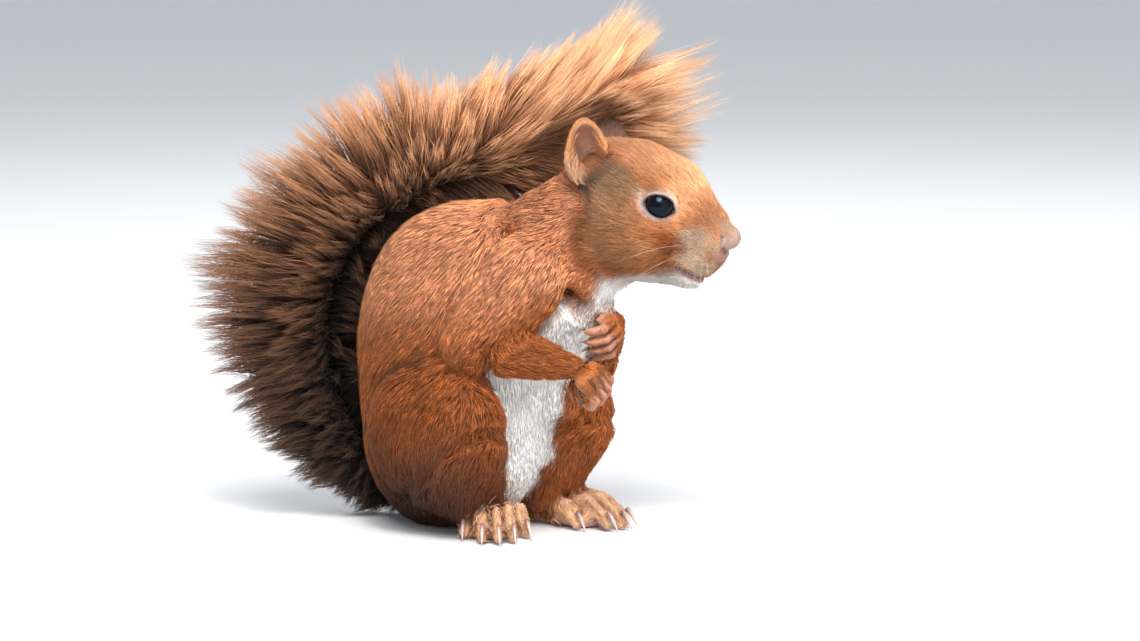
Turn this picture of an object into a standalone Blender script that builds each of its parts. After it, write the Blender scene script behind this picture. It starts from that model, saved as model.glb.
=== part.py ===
"""A red squirrel at life size, sitting hunched with its tail laid up its back and over its head.

The animal is described by distance fields: a shape is a function that gives the distance from its
surface, negative inside. Muscles, bones and pads are ellipsoids and tapered capsules, blended with a
stated softness. One named body part is the stretch of that blended flesh that is nearest to its own
shapes, so neighbours meet along natural creases with a thin gap between them. Each part is turned
into a closed mesh, cut flat at floor level, and thinned with a Decimate modifier.

Lengths are in millimetres until a mesh is made. X points where the head looks, Z is up, and the
animal's right side is turned to -Y.
"""

import math

import bmesh
import bpy
import numpy as np
from mathutils import Matrix, Vector

MM = 0.001
CUT = 0.6  # the gap that parts neighbouring pieces of flesh
EDGE = 1.2  # how softly a piece's outside turns in to the gap
SET_IN = 0.25  # the gap behind a claw
FLOOR = 0.0

# ---------------------------------------------------------------- driving sizes and poses

SKULL = Vector((38.5, -9.0, 103.5))  # midway between the ear holes
HEAD_TURN, HEAD_DROOP = -13.0, 20.0
NOSE_REACH = 43.0  # ear holes to the tip of the nose
EYE_PLACE, EYE_RADIUS = Vector((18.0, 10.3, 3.6)), 4.8

HIPS = Vector((-7.0, 8.0, 30.0))
HIP_TURN = -48.0
SHOULDERS = Vector((17.0, -3.0, 79.0))
CHEST_TURN = -28.0

RIGHT, LEFT = -1, 1
UP = Vector((0, 0, 1))


class Frame:
    """Axes of a body region: u forward, v to the animal's left, w up."""

    def __init__(self, origin, turn, droop=0.0):
        spin = Matrix.Rotation(math.radians(turn), 3, "Z")
        nod = Matrix.Rotation(math.radians(droop), 3, "Y")
        self.axes = spin @ nod
        self.origin = Vector(origin)

    def at(self, u, v, w):
        return self.origin + self.along(u, v, w)

    def along(self, u, v, w):
        return self.axes @ Vector((u, v, w))


def aimed(forward, upward):
    """Axes with the first column along forward and the third as near to upward as it can be."""
    u = forward.normalized()
    v = upward.cross(u).normalized()
    return Matrix((u, v, u.cross(v))).transposed()


def heading(degrees):
    """The level direction that many degrees anticlockwise from X."""
    return Vector((math.cos(math.radians(degrees)), math.sin(math.radians(degrees)), 0))


# ---------------------------------------------------------------- distance fields


class Shape:
    """A distance field with the box that holds its surface."""

    def __init__(self, field, low, high):
        self.field = field
        self.low = np.array(low, float)
        self.high = np.array(high, float)

    def __call__(self, points):
        return self.field(points)

    def near(self, low, high, reach):
        """Whether this shape's box comes within reach of the box from low to high."""
        return bool(np.all(self.low - reach < high) and np.all(self.high + reach > low))


def capsule(start, end, start_radius, end_radius=None):
    """A round bar from start to end that tapers evenly."""
    end_radius = start_radius if end_radius is None else end_radius
    a, b = np.array(start, float), np.array(end, float)
    span = b - a
    length2 = max(float(span @ span), 1e-9)

    def field(points):
        share = np.clip((points - a) @ span / length2, 0.0, 1.0)
        nearest = a + share[:, None] * span
        radius = start_radius + share * (end_radius - start_radius)
        return np.linalg.norm(points - nearest, axis=1) - radius

    most = max(start_radius, end_radius)
    return Shape(field, np.minimum(a, b) - most, np.maximum(a, b) + most)


def ellipsoid(centre, radii, axes=None):
    """An ellipsoid whose semi-axes lie along the columns of axes."""
    middle, semi = np.array(centre, float), np.array(radii, float)
    turn = np.eye(3) if axes is None else np.array(axes, float)

    def field(points):
        local = (points - middle) @ turn
        scaled = np.linalg.norm(local / semi, axis=1)
        slope = np.maximum(np.linalg.norm(local / semi**2, axis=1), 1e-9)
        return scaled * (scaled - 1.0) / slope

    reach = np.sqrt(((turn * semi) ** 2).sum(axis=1))
    return Shape(field, middle - reach, middle + reach)


def blend(softness, *shapes):
    """The union of shapes, with fillets about as wide as softness."""

    def field(points):
        merged = np.full(len(points), 1e3)
        low, high = points.min(axis=0), points.max(axis=0)
        for shape in shapes:
            if shape.near(low, high, softness + 10):
                other = shape(points)
                close = np.clip(softness - np.abs(merged - other), 0.0, None) / softness
                merged = np.minimum(merged, other) - close * close * softness / 4
        return merged

    low = np.min([shape.low for shape in shapes], axis=0) - softness / 4
    high = np.max([shape.high for shape in shapes], axis=0) + softness / 4
    return Shape(field, low, high)


def both(first, second, edge=EDGE):
    """The intersection of two fields, with its edge rounded off."""
    close = np.clip(edge - np.abs(first - second), 0.0, None) / edge
    return np.maximum(first, second) + close * close * edge / 4


def hollowed(outer, inner):
    """The outer shape with the inner one taken out of it, leaving no knife edge at the rim."""
    return Shape(lambda points: both(outer(points), -inner(points), 2.0), outer.low, outer.high)


def chain(points, radii):
    """Capsules end to end."""
    links = zip(points, points[1:], radii, radii[1:])
    return [capsule(a, b, ra, rb) for a, b, ra, rb in links]


# ---------------------------------------------------------------- head

HEAD = Frame(SKULL, HEAD_TURN, HEAD_DROOP)


def head_oval(u, v, w, *radii):
    return ellipsoid(HEAD.at(u, v, w), radii, HEAD.axes)


def head_flesh():
    """Braincase, brow, wedge-shaped muzzle, whisker pads, cheeks and lower jaw."""
    skull = [head_oval(1, 0, 2.0, 15, 14.5, 14.5), head_oval(13, 0, 3.5, 15.5, 12.5, 12)]
    muzzle = capsule(HEAD.at(19, 0, -1.5), HEAD.at(33.5, 0, -2.4), 11.5, 8.0)
    brow = capsule(HEAD.at(8, 0, 9.0), HEAD.at(20, 0, 7.6), 9.7, 9.2)
    bridge = capsule(HEAD.at(20, 0, 7.6), HEAD.at(32.5, 0, 3.6), 9.2, 5.0)
    face = blend(3, blend(6, *skull, muzzle), brow, bridge)
    jaw = capsule(HEAD.at(10, 0, -12.0), HEAD.at(29.5, 0, -13.8), 11.0, 5.4)
    cheeks = [head_oval(11, side * 8.0, -7.5, 14.5, 9.5, 12.0) for side in (RIGHT, LEFT)]
    pads = [head_oval(33, side * 3.8, -6.0, 6.0, 4.8, 5.2) for side in (RIGHT, LEFT)]
    return blend(5, blend(8, face, jaw), *cheeks, *pads)


def nose():
    tip = head_oval(NOSE_REACH - 3.6, 0, 0.2, 3.6, 3.6, 4.2)
    return blend(1.5, tip, head_oval(NOSE_REACH - 4.0, 0, -3.4, 2.6, 2.2, 2.6))


def eye(side):
    place = HEAD.at(EYE_PLACE.x, side * EYE_PLACE.y, EYE_PLACE.z)
    return ellipsoid(place, [EYE_RADIUS] * 3)


EAR_LEAN = {RIGHT: (-0.42, -0.16, 0.90), LEFT: (-0.26, 0.22, 0.94)}
EAR_FACING = {RIGHT: (0.34, -0.94, 0.10), LEFT: (0.55, 0.83, 0.05)}
EAR_BASE, EAR_HEIGHT = Vector((-3.0, 11.0, 1.0)), 24.0


def ear_cup(side):
    """Where an ear stands: its middle, its axes, and the directions it faces and rises."""
    upward, forward = HEAD.along(*EAR_LEAN[side]), HEAD.along(*EAR_FACING[side])
    base = HEAD.at(EAR_BASE.x, side * EAR_BASE.y, EAR_BASE.z)
    return base + upward * (EAR_HEIGHT * 0.5 - 1.0), aimed(forward, upward), forward, upward


def ear_hollow(side):
    middle, axes, forward, upward = ear_cup(side)
    return ellipsoid(middle + forward * 3.8 - upward * 0.6, (7.0, 5.5, EAR_HEIGHT / 2 - 1.2), axes)


def ear_outside(side):
    middle, axes, forward, upward = ear_cup(side)
    return ellipsoid(middle, (5.6, 7.0, EAR_HEIGHT / 2), axes)


def ear(side):
    """A round-topped cup that stands on the side of the head, hollow towards EAR_FACING."""
    return hollowed(ear_outside(side), ear_hollow(side))


# ---------------------------------------------------------------- neck and trunk

PELVIS = Frame(HIPS, HIP_TURN)
CHEST = Frame(SHOULDERS, CHEST_TURN)


def neck():
    nape = capsule(HEAD.at(-3.0, 0, -6.0), CHEST.at(4, 0, 6), 14.0, 19.0)
    throat = capsule(HEAD.at(8, 0, -14.0), CHEST.at(12, 0, -5), 9.5, 12.5)
    return blend(8, nape, throat)


def trunk():
    """A hunched egg: seat, loins and arched back, chest and belly."""
    seat = ellipsoid(PELVIS.at(-2, 0, -4), (28, 27, 29), PELVIS.axes)
    loins = ellipsoid(PELVIS.at(-5, 0, 21), (28.5, 27, 30), PELVIS.axes)
    back = ellipsoid((-3, 3, 68.5), (31.5, 27.5, 31.5))
    ribs = ellipsoid(CHEST.at(-4, 0, -6), (24, 22, 25), CHEST.axes)
    breast = ellipsoid(CHEST.at(2, 0, -15), (17, 16, 20), CHEST.axes)
    belly = ellipsoid(PELVIS.at(15, 0, 4), (17, 19, 28), PELVIS.axes)
    return blend(10, seat, loins, back, ribs, breast, belly)


# ---------------------------------------------------------------- forelimbs

ARM_POINTS = {
    RIGHT: {"shoulder": (14, -17, 78), "elbow": (-1, -26, 59), "wrist": (29.5, -32, 53)},
    LEFT: {"shoulder": (24, 12, 79), "elbow": (33, 8, 51), "wrist": (40.5, -14.5, 64.5)},
}
HAND_AIM = {RIGHT: Vector((0.80, -0.05, -0.60)), LEFT: Vector((-0.15, -0.85, -0.50))}
HAND_BACK = {RIGHT: Vector((0.35, -0.72, 0.60)), LEFT: Vector((0.93, -0.12, 0.20))}
# How far each joint of a finger lies ahead of the last one and out of the back of the hand.
FINGER_BENDS = {
    RIGHT: ((4.2, -1.2), (0.4, -3.6), (-2.4, -1.4)),
    LEFT: ((3.4, -0.6), (0.8, -3.2), (-0.2, -2.4)),
}
PALM_LENGTH, FINGER_GAP, FINGER_RADIUS = 7.0, 2.9, 1.5


def upper_arm(side):
    points = ARM_POINTS[side]
    return capsule(points["shoulder"], points["elbow"], 14.5, 10.0)


def forearm(side):
    points = ARM_POINTS[side]
    return capsule(points["elbow"], points["wrist"], 8.5, 4.6)


def hand_axes(side):
    """Along the palm, across the knuckles from the inner finger outwards, and out of its back."""
    aim, back = HAND_AIM[side].normalized(), HAND_BACK[side]
    across = back.cross(aim).normalized() * side
    return aim, across, aim.cross(across) * side


def finger_points(side, number):
    """Knuckle, middle joint, last joint and tip of a curled finger, numbered 0 to 3."""
    aim, across, back = hand_axes(side)
    place = number - 1.5
    knuckle = Vector(ARM_POINTS[side]["wrist"]) + aim * (PALM_LENGTH - 0.5 * place**2)
    knuckle += across * place * FINGER_GAP
    fan = (aim + across * 0.08 * place).normalized()
    joints = [knuckle]
    for ahead, out in FINGER_BENDS[side]:
        joints.append(joints[-1] + fan * ahead + back * out)
    return joints


def hand(side):
    aim, across, back = hand_axes(side)
    wrist = Vector(ARM_POINTS[side]["wrist"])
    palm = ellipsoid(wrist + aim * 3.6, (6.4, 5.8, 3.8), Matrix((aim, across, back)).transposed())
    radii = [FINGER_RADIUS * share for share in (1.08, 1.05, 0.95, 0.85)]
    fingers = [link for number in range(4) for link in chain(finger_points(side, number), radii)]
    inner = wrist - across * 4.6 - back * 1.5
    thumb = capsule(inner + aim * 2.5, inner + aim * 4.5 - back * 1.5, 1.5, 1.2)
    return blend(1.2, palm, *fingers, thumb)


def finger_claw(side, number):
    """A short curved claw past the finger's tip."""
    last, tip = finger_points(side, number)[2:]
    back = hand_axes(side)[2]
    run = (tip - last).normalized()
    bend = tip + run * 2.4 + back * 0.3
    end = bend + run * 1.3 + back * 1.0
    return blend(0.4, *chain([tip, bend, end], [0.85, 0.62, 0.35]))


# ---------------------------------------------------------------- hind limbs

LEG_POINTS = {
    RIGHT: {"haunch": (-15, -14, 32), "knee": (-4.5, -29, 34), "ankle": (-2, -15, 12)},
    LEFT: {"haunch": (15, 14, 32), "knee": (28.5, 1, 35), "ankle": (20, 8, 12)},
}
FOOT_POINTS = {
    RIGHT: {"heel": (-7, -1, 6), "ball": (4.5, -20, 6.0)},
    LEFT: {"heel": (11, 17, 6), "ball": (32.5, 2, 6.5)},
}
TOE_AIM = {RIGHT: -84.0, LEFT: -38.0}
TOE_FAN = (13.0, 5.0, 0.0, -5.0, -14.0)
TOE_REACH = (9.5, 12.5, 13.5, 12.5, 9.0)
TOE_BACK = (6.0, 1.0, 0.0, 1.0, 6.5)
TOE_SPACING, TOE_RADIUS, KNUCKLE_HEIGHT = 3.6, 2.1, 8.8


def thigh(side):
    """The haunch, and the end of the thigh bone carrying it to the knee."""
    points = LEG_POINTS[side]
    haunch = ellipsoid(points["haunch"], (25, 13.5, 25), PELVIS.axes)
    return blend(10, haunch, capsule(points["haunch"], points["knee"], 14.0, 12.5))


def shank(side):
    """The lower leg, folded back under the thigh from the knee to the heel."""
    points = LEG_POINTS[side]
    below_knee = Vector(points["knee"]) - UP * 2
    calf = capsule(below_knee, points["ankle"], 12.0, 8.5)
    return blend(6, calf, capsule(points["ankle"], FOOT_POINTS[side]["heel"], 8.5, 5.2))


def knee_fold(side):
    """The slanting plane between thigh and shank, as a field that is negative on the thigh's side."""
    upwards = PELVIS.along(-0.55, 0, 0.835)
    middle, normal = np.array(Vector(LEG_POINTS[side]["knee"]) - UP * 7), np.array(upwards)
    return lambda points: -((points - middle) @ normal)


def toe_points(side, number):
    """Root, raised knuckle, last joint and tip pad of a toe, numbered 0 to 4 from the inside out."""
    ball, ahead = Vector(FOOT_POINTS[side]["ball"]), heading(TOE_AIM[side])
    across = heading(TOE_AIM[side] + 90 * side)
    aim = heading(TOE_AIM[side] - TOE_FAN[number] * side)
    root = ball + across * (number - 2) * TOE_SPACING - ahead * TOE_BACK[number] - UP
    reach = TOE_REACH[number]
    arch = KNUCKLE_HEIGHT * (0.75 + 0.25 * reach / TOE_REACH[2])
    knuckle = Vector((*(root + aim * reach * 0.34).xy, arch))
    last = Vector((*(root + aim * reach * 0.78).xy, 4.6))
    tip = Vector((*(root + aim * reach).xy, 1.7))
    return [root, knuckle, last, tip]


def foot(side):
    points = FOOT_POINTS[side]
    heel, ball = Vector(points["heel"]), Vector(points["ball"])
    sole = capsule(heel - UP, ball - UP * 1.2, 5.2, 5.0)
    plate = Frame(ball - UP * 1.6, TOE_AIM[side])
    pad = ellipsoid(plate.at(-2, 0, 0), (7.5, 8.6, 4.9), plate.axes)
    radii = [TOE_RADIUS * share for share in (1.1, 1.05, 1.0, 0.85)]
    toes = [blend(0.8, *chain(toe_points(side, number), radii)) for number in range(5)]
    return blend(1.4, blend(6, sole, pad), *toes)


def toe_claw(side, number):
    """A long curved claw that comes out of the top of the toe and bends down to the floor."""
    root, knuckle, last, tip = toe_points(side, number)
    aim = heading(TOE_AIM[side] - TOE_FAN[number] * side)
    start = last.lerp(tip, 0.45) + aim * 0.8 + UP * 0.5
    middle = start + aim * 2.9 - UP * 0.2
    end = Vector((*(start + aim * 4.9).xy, 0.45))
    return blend(0.5, *chain([start, middle, end], [1.0, 0.85, 0.4]))


# ---------------------------------------------------------------- tail

# Stations along the tail: the bone line, then how far the coat reaches outwards and inwards.
TAIL_STATIONS = (
    ((-25, 25, 10), 10, 10),
    ((-39, 24, 20), 15, 11),
    ((-49, 22, 42), 27, 12),
    ((-51, 20, 60), 34, 13),
    ((-46, 18, 79), 37, 14),
    ((-34, 16, 95), 35, 13),
    ((-17, 14, 107), 31, 14),
    ((5, 12, 116), 24, 15),
    ((28, 10, 123), 23, 15),
    ((52, 9, 131), 28, 25),
)
TAIL_HALF_WIDTHS = (10, 18, 24, 26, 27, 27, 26, 25, 25, 25)
TAIL_LENGTHS = 5


def tail_lobe(number):
    """The coat round one station, as an ellipsoid pushed outwards from the bone line."""
    spots = [Vector(station[0]) for station in TAIL_STATIONS]
    spot, outer, inner = spots[number], *TAIL_STATIONS[number][1:]
    before, after = spots[max(number - 1, 0)], spots[min(number + 1, len(spots) - 1)]
    ahead = (after - before).normalized()
    side = Vector((0, 1, 0))
    side = (side - ahead * side.dot(ahead)).normalized()
    out = side.cross(ahead) * -1
    axes = Matrix((ahead, side, out)).transposed()
    middle = spot + out * (outer - inner) / 2
    reach = (after - before).length * 0.62 if number < len(spots) - 1 else 24
    return ellipsoid(middle, (reach, TAIL_HALF_WIDTHS[number], (outer + inner) / 2), axes)


def tail_length(number):
    lobes = [tail_lobe(2 * number), tail_lobe(2 * number + 1)]
    return blend(8, *lobes)


# ---------------------------------------------------------------- from fields to meshes


def grid_field(shape, low, high, step):
    """The field on a grid. Grid points far from the surface take the value of a coarse grid."""
    wide = 4
    blocks = np.ceil((high - low) / (step * wide)).astype(int)
    coarse_lines = [low[k] + step * wide * np.arange(blocks[k] + 1) for k in range(3)]
    coarse = np.stack(np.meshgrid(*coarse_lines, indexing="ij"), axis=-1)
    rough = shape(coarse.reshape(-1, 3)).reshape(blocks + 1)
    lines = [low[k] + step * np.arange(blocks[k] * wide + 1) for k in range(3)]
    points = np.stack(np.meshgrid(*lines, indexing="ij"), axis=-1)
    nearest = [np.rint(np.arange(blocks[k] * wide + 1) / wide).astype(int) for k in range(3)]
    values = rough[np.ix_(*nearest)]
    close = np.abs(values) < wide * step * 1.8
    values[close] = shape(points[close])
    return points, values


def surface_net(shape, step):
    """Vertices and quads of the surface where shape's field is zero: one vertex for each grid cell
    that the surface passes through, at the mean of the points where it crosses the cell's edges."""
    low, high = shape.low - 2 * step, shape.high + 2 * step
    points, values = grid_field(shape, low, high, step)
    total = np.zeros(values.shape + (3,))
    count = np.zeros(values.shape)
    crossings = []
    for axis in range(3):
        near = [slice(None)] * 3
        far = [slice(None)] * 3
        near[axis], far[axis] = slice(None, -1), slice(1, None)
        a, b = values[tuple(near)], values[tuple(far)]
        cells = np.argwhere((a < 0) != (b < 0))
        first, second = a[tuple(cells.T)], b[tuple(cells.T)]
        share = first / (first - second)
        spots = points[tuple(near)][tuple(cells.T)].copy()
        spots[:, axis] += share * step
        others = [k for k in range(3) if k != axis]
        ring = []
        for back in ((0, 0), (1, 0), (1, 1), (0, 1)):
            cell = cells.copy()
            cell[:, others[0]] -= back[0]
            cell[:, others[1]] -= back[1]
            np.add.at(total, tuple(cell.T), spots)
            np.add.at(count, tuple(cell.T), 1)
            ring.append(np.ravel_multi_index(tuple(cell.T), values.shape))
        ring = np.stack(ring, axis=1)
        turned = (first < 0) == (axis != 1)
        crossings.append(np.where(turned[:, None], ring, ring[:, ::-1]))
    used = np.flatnonzero(count.ravel())
    index = np.full(count.size, -1)
    index[used] = np.arange(len(used))
    vertices = total.reshape(-1, 3)[used] / count.ravel()[used][:, None]
    return vertices, index[np.concatenate(crossings)]


def part_of(whole, mine, others, clearances=(), halves=()):
    """The stretch of the whole that is nearest to mine. Clearances are pairs of a body and the gap
    to leave round it; halves are fields that are negative on the side to keep."""

    def field(points):
        own = mine(points)
        low, high = points.min(axis=0), points.max(axis=0)
        region = whole(points)
        rivals = [own - other(points) for other in others if other.near(low, high, 3)]
        rivals += [half(points) for half in halves]
        if rivals:
            region = both(region, (np.max(rivals, axis=0) + CUT) / 1.4)
        for body, gap in clearances:
            region = both(region, gap - body(points))
        return region

    return Shape(field, mine.low - 6, mine.high + 6)


def outside_of(shape, body):
    """What of shape stands clear of body."""
    return Shape(lambda points: np.maximum(shape(points), SET_IN - body(points)), shape.low, shape.high)


def material(name, colour, roughness):
    made = bpy.data.materials.new(name)
    made.use_nodes = True
    surface = made.node_tree.nodes["Principled BSDF"]
    surface.inputs["Base Color"].default_value = (*colour, 1)
    surface.inputs["Roughness"].default_value = roughness
    surface.inputs["Metallic"].default_value = 0.0
    return made


def largest_island(mesh):
    """Keeps a mesh's largest connected piece: a cut can leave crumbs."""
    mesh.verts.ensure_lookup_table()
    left, largest = set(mesh.verts), []
    while left:
        island, edge = set(), [left.pop()]
        while edge:
            vertex = edge.pop()
            island.add(vertex)
            for link in vertex.link_edges:
                other = link.other_vert(vertex)
                if other in left:
                    left.remove(other)
                    edge.append(other)
        if len(island) > len(largest):
            largest = island
    crumbs = [vertex for vertex in mesh.verts if vertex not in largest]
    bmesh.ops.delete(mesh, geom=crumbs, context="VERTS")


def modified(made):
    """Replaces an object's mesh with what its modifiers make of it."""
    graph = bpy.context.evaluated_depsgraph_get()
    result = bpy.data.meshes.new_from_object(made.evaluated_get(graph))
    made.modifiers.clear()
    made.data = result


def add_part(name, shape, step, triangles, finish):
    """Makes the named object: the field's surface, made whole by a voxel remesh and then thinned."""
    vertices, quads = surface_net(shape, step)
    data = bpy.data.meshes.new(name)
    data.from_pydata(vertices * MM, [], quads.tolist())
    mesh = bmesh.new()
    mesh.from_mesh(data)
    largest_island(mesh)
    bmesh.ops.recalc_face_normals(mesh, faces=mesh.faces)
    mesh.to_mesh(data)
    mesh.free()
    made = bpy.data.objects.new(name, data)
    bpy.context.scene.collection.objects.link(made)
    whole = made.modifiers.new("Whole", "REMESH")
    whole.mode = "VOXEL"
    whole.voxel_size = step * MM * 0.8
    modified(made)
    thin = made.modifiers.new("Thin", "DECIMATE")
    thin.ratio = min(1.0, triangles / max(len(made.data.polygons) * 2, 1))
    thin.use_collapse_triangulate = True
    modified(made)
    made.data.materials.clear()
    made.data.materials.append(finish)
    return made


def cut_at_floor(made):
    """Cuts a mesh at floor level, closes it with a flat, and drops any crumb."""
    mesh = bmesh.new()
    mesh.from_mesh(made.data)
    if min(vertex.co.z for vertex in mesh.verts) < FLOOR:
        everything = mesh.verts[:] + mesh.edges[:] + mesh.faces[:]
        cut = bmesh.ops.bisect_plane(
            mesh, geom=everything, dist=1e-6, plane_co=(0, 0, FLOOR), plane_no=(0, 0, -1), clear_outer=True
        )
        rim = [item for item in cut["geom_cut"] if isinstance(item, bmesh.types.BMEdge)]
        bmesh.ops.holes_fill(mesh, edges=rim)
    bmesh.ops.triangulate(mesh, faces=mesh.faces)
    largest_island(mesh)
    mesh.to_mesh(made.data)
    mesh.free()
    made.data.shade_smooth()


def centre_over_origin(made):
    """Moves every mesh so that the whole stands with the middle of its box over the origin."""
    corners = np.array([vertex.co for item in made for vertex in item.data.vertices])
    low, high = corners.min(axis=0), corners.max(axis=0)
    shift = Matrix.Translation((-(low[0] + high[0]) / 2, -(low[1] + high[1]) / 2, -low[2]))
    for item in made:
        item.data.transform(shift)


def kind_of(name):
    """A part's name without its side."""
    return name.removesuffix("_right").removesuffix("_left")


def main():
    for old in list(bpy.data.objects):
        bpy.data.objects.remove(old, do_unlink=True)

    fur = material("russet_fur", (0.42, 0.15, 0.045), 0.85)
    tail_fur = material("tail_fur", (0.30, 0.13, 0.05), 0.9)
    bare_skin = material("bare_skin", (0.50, 0.27, 0.20), 0.6)
    horn = material("claw_horn", (0.62, 0.52, 0.44), 0.4)
    wet_eye = material("eye_surface", (0.008, 0.006, 0.006), 0.05)

    sides = {"right": RIGHT, "left": LEFT}
    eyes = {f"eye_{word}": eye(side) for word, side in sides.items()}

    body = {"trunk": trunk(), "neck": neck(), "head": head_flesh(), "nose": nose()}
    for word, side in sides.items():
        body[f"ear_{word}"] = ear(side)
        body[f"upper_arm_{word}"] = upper_arm(side)
        body[f"forearm_{word}"] = forearm(side)
        body[f"hand_{word}"] = hand(side)
        body[f"leg_{word}"] = blend(6, thigh(side), shank(side))
        body[f"foot_{word}"] = foot(side)

    softness = {"neck": 8, "head": 7, "nose": 1.5, "ear": 1.5, "upper_arm": 9, "forearm": 3.5}
    softness |= {"hand": 1.5, "leg": 3.0, "foot": 1.2}
    flesh = body["trunk"]
    for name, shape in body.items():
        if name != "trunk":
            flesh = blend(softness[kind_of(name)], flesh, shape)
    flesh = hollowed(flesh, blend(0.1, ear_hollow(RIGHT), ear_hollow(LEFT)))

    lengths = {f"tail_{number + 1}": tail_length(number) for number in range(TAIL_LENGTHS)}
    tail = blend(8, *lengths.values())

    steps = {"head": 1.2, "nose": 0.6, "ear": 0.5, "hand": 0.6, "foot": 0.8, "forearm": 1.2}
    counts = {"trunk": 960, "neck": 280, "head": 1400, "nose": 90, "ear": 300, "upper_arm": 190}
    counts |= {"forearm": 160, "hand": 540, "thigh": 240, "shank": 190, "foot": 700, "tail": 260}
    counts |= {"eye": 160, "toe_claw": 40, "finger_claw": 30}

    made = []
    for name, shape in body.items():
        kind = kind_of(name)
        others = [other for key, other in body.items() if key != name]
        sockets = [(ball, CUT) for ball in eyes.values()] if kind == "head" else ()
        finish = bare_skin if kind == "nose" else fur
        if kind == "leg":
            word = name.removeprefix("leg_")
            fold = knee_fold(sides[word])
            upper = part_of(flesh, shape, others, halves=[fold])
            lower = part_of(flesh, shape, others, halves=[lambda points, fold=fold: -fold(points)])
            made.append(add_part(f"thigh_{word}", upper, 2.0, counts["thigh"], fur))
            made.append(add_part(f"shank_{word}", lower, 2.0, counts["shank"], fur))
        else:
            stretch = part_of(flesh, shape, others, sockets)
            made.append(add_part(name, stretch, steps.get(kind, 2.0), counts[kind], finish))
    for name, shape in lengths.items():
        others = [other for key, other in lengths.items() if key != name]
        clear_of = [(flesh, CUT), (body["head"], CUT * 2), (ear_outside(LEFT), CUT * 4)]
        stretch = part_of(tail, shape, others, clear_of)
        made.append(add_part(name, stretch, 2.0, counts["tail"], tail_fur))

    for name, shape in eyes.items():
        made.append(add_part(name, shape, 0.8, counts["eye"], wet_eye))
    for word, side in sides.items():
        for number in range(5):
            claw = outside_of(toe_claw(side, number), flesh)
            made.append(add_part(f"toe_claw_{word}_{number + 1}", claw, 0.3, counts["toe_claw"], horn))
        for number in range(4):
            claw = outside_of(finger_claw(side, number), flesh)
            made.append(add_part(f"finger_claw_{word}_{number + 1}", claw, 0.25, counts["finger_claw"], horn))

    for item in made:
        cut_at_floor(item)
    centre_over_origin(made)


main()
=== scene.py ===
"""The looks of a life-size red squirrel: one skin, the coat over it, eyes, claws and whiskers.

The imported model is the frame. The skin is the flesh nodes grown into one surface and drawn in by the
coat's depth. The coat is made of three-sided spikes, gathered into locks, whose roots are
spread over the skin and which lie along a field of directions. Skin and coat take their colours from
the same markings. Lengths are in millimetres until a mesh is made, except where a line says metres.
"""

import math

import bmesh
import bpy
import numpy as np
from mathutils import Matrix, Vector
from mathutils.bvhtree import BVHTree
from mathutils.kdtree import KDTree


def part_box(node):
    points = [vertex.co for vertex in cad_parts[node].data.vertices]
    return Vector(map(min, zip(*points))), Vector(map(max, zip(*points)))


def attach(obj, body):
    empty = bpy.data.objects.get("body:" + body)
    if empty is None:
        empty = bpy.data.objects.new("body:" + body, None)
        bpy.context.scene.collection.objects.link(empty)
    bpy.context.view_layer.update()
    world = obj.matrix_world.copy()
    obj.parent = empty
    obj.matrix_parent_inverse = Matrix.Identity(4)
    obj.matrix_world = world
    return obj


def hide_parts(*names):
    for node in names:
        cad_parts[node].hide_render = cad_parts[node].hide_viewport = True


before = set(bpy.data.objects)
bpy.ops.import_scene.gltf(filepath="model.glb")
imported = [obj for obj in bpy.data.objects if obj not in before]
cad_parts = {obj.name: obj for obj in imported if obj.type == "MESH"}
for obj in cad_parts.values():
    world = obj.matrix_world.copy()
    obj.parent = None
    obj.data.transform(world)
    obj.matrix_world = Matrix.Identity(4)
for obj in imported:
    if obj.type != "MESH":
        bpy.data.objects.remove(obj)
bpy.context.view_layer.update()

MM = 0.001
SIDES = {"right": -1, "left": 1}
PAIRED = ("ear", "upper_arm", "forearm", "hand", "thigh", "shank", "foot")
FLESH = ["trunk", "neck", "head", "nose"] + [f"{part}_{side}" for part in PAIRED for side in SIDES]
TAIL_NODES = [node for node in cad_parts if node.startswith("tail_")]
rng = np.random.default_rng(11)

# ---------------------------------------------------------------- small tools


def unit(vectors):
    """The vectors at a length of 1."""
    return vectors / np.maximum(np.linalg.norm(vectors, axis=-1, keepdims=True), 1e-9)


def ramp(low, high, value):
    """0 below low, 1 above high, and a smooth rise between them."""
    share = np.clip((value - low) / (high - low), 0.0, 1.0)
    return share * share * (3 - 2 * share)


def mix(first, second, share):
    """The first at a share of 0, the second at a share of 1."""
    share = np.asarray(share)[..., None]
    return np.asarray(first) * (1 - share) + np.asarray(second) * share


def flattened(vectors, normals):
    """The vectors laid into the planes across the normals, at unit length."""
    return unit(vectors - (vectors * normals).sum(axis=-1, keepdims=True) * normals)


def middle(node):
    """The middle of a node's box."""
    low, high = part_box(node)
    return np.array(low + high) / 2 / MM


WAVES = np.random.default_rng(3).normal(size=(3, 9))
PHASES = np.random.default_rng(4).uniform(0, 2 * math.pi, 9)


def mottle(points, size):
    """A smooth random-looking field from -1 to 1 with patches about as wide as size."""
    return np.tanh(np.sin(points @ WAVES * (2.2 / size) + PHASES).sum(axis=1) / 2.2)


def lifted(points, gap):
    """Points brought up to a gap over the floor where they lie lower."""
    points[..., 2] = np.maximum(points[..., 2], gap)
    return points


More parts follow.
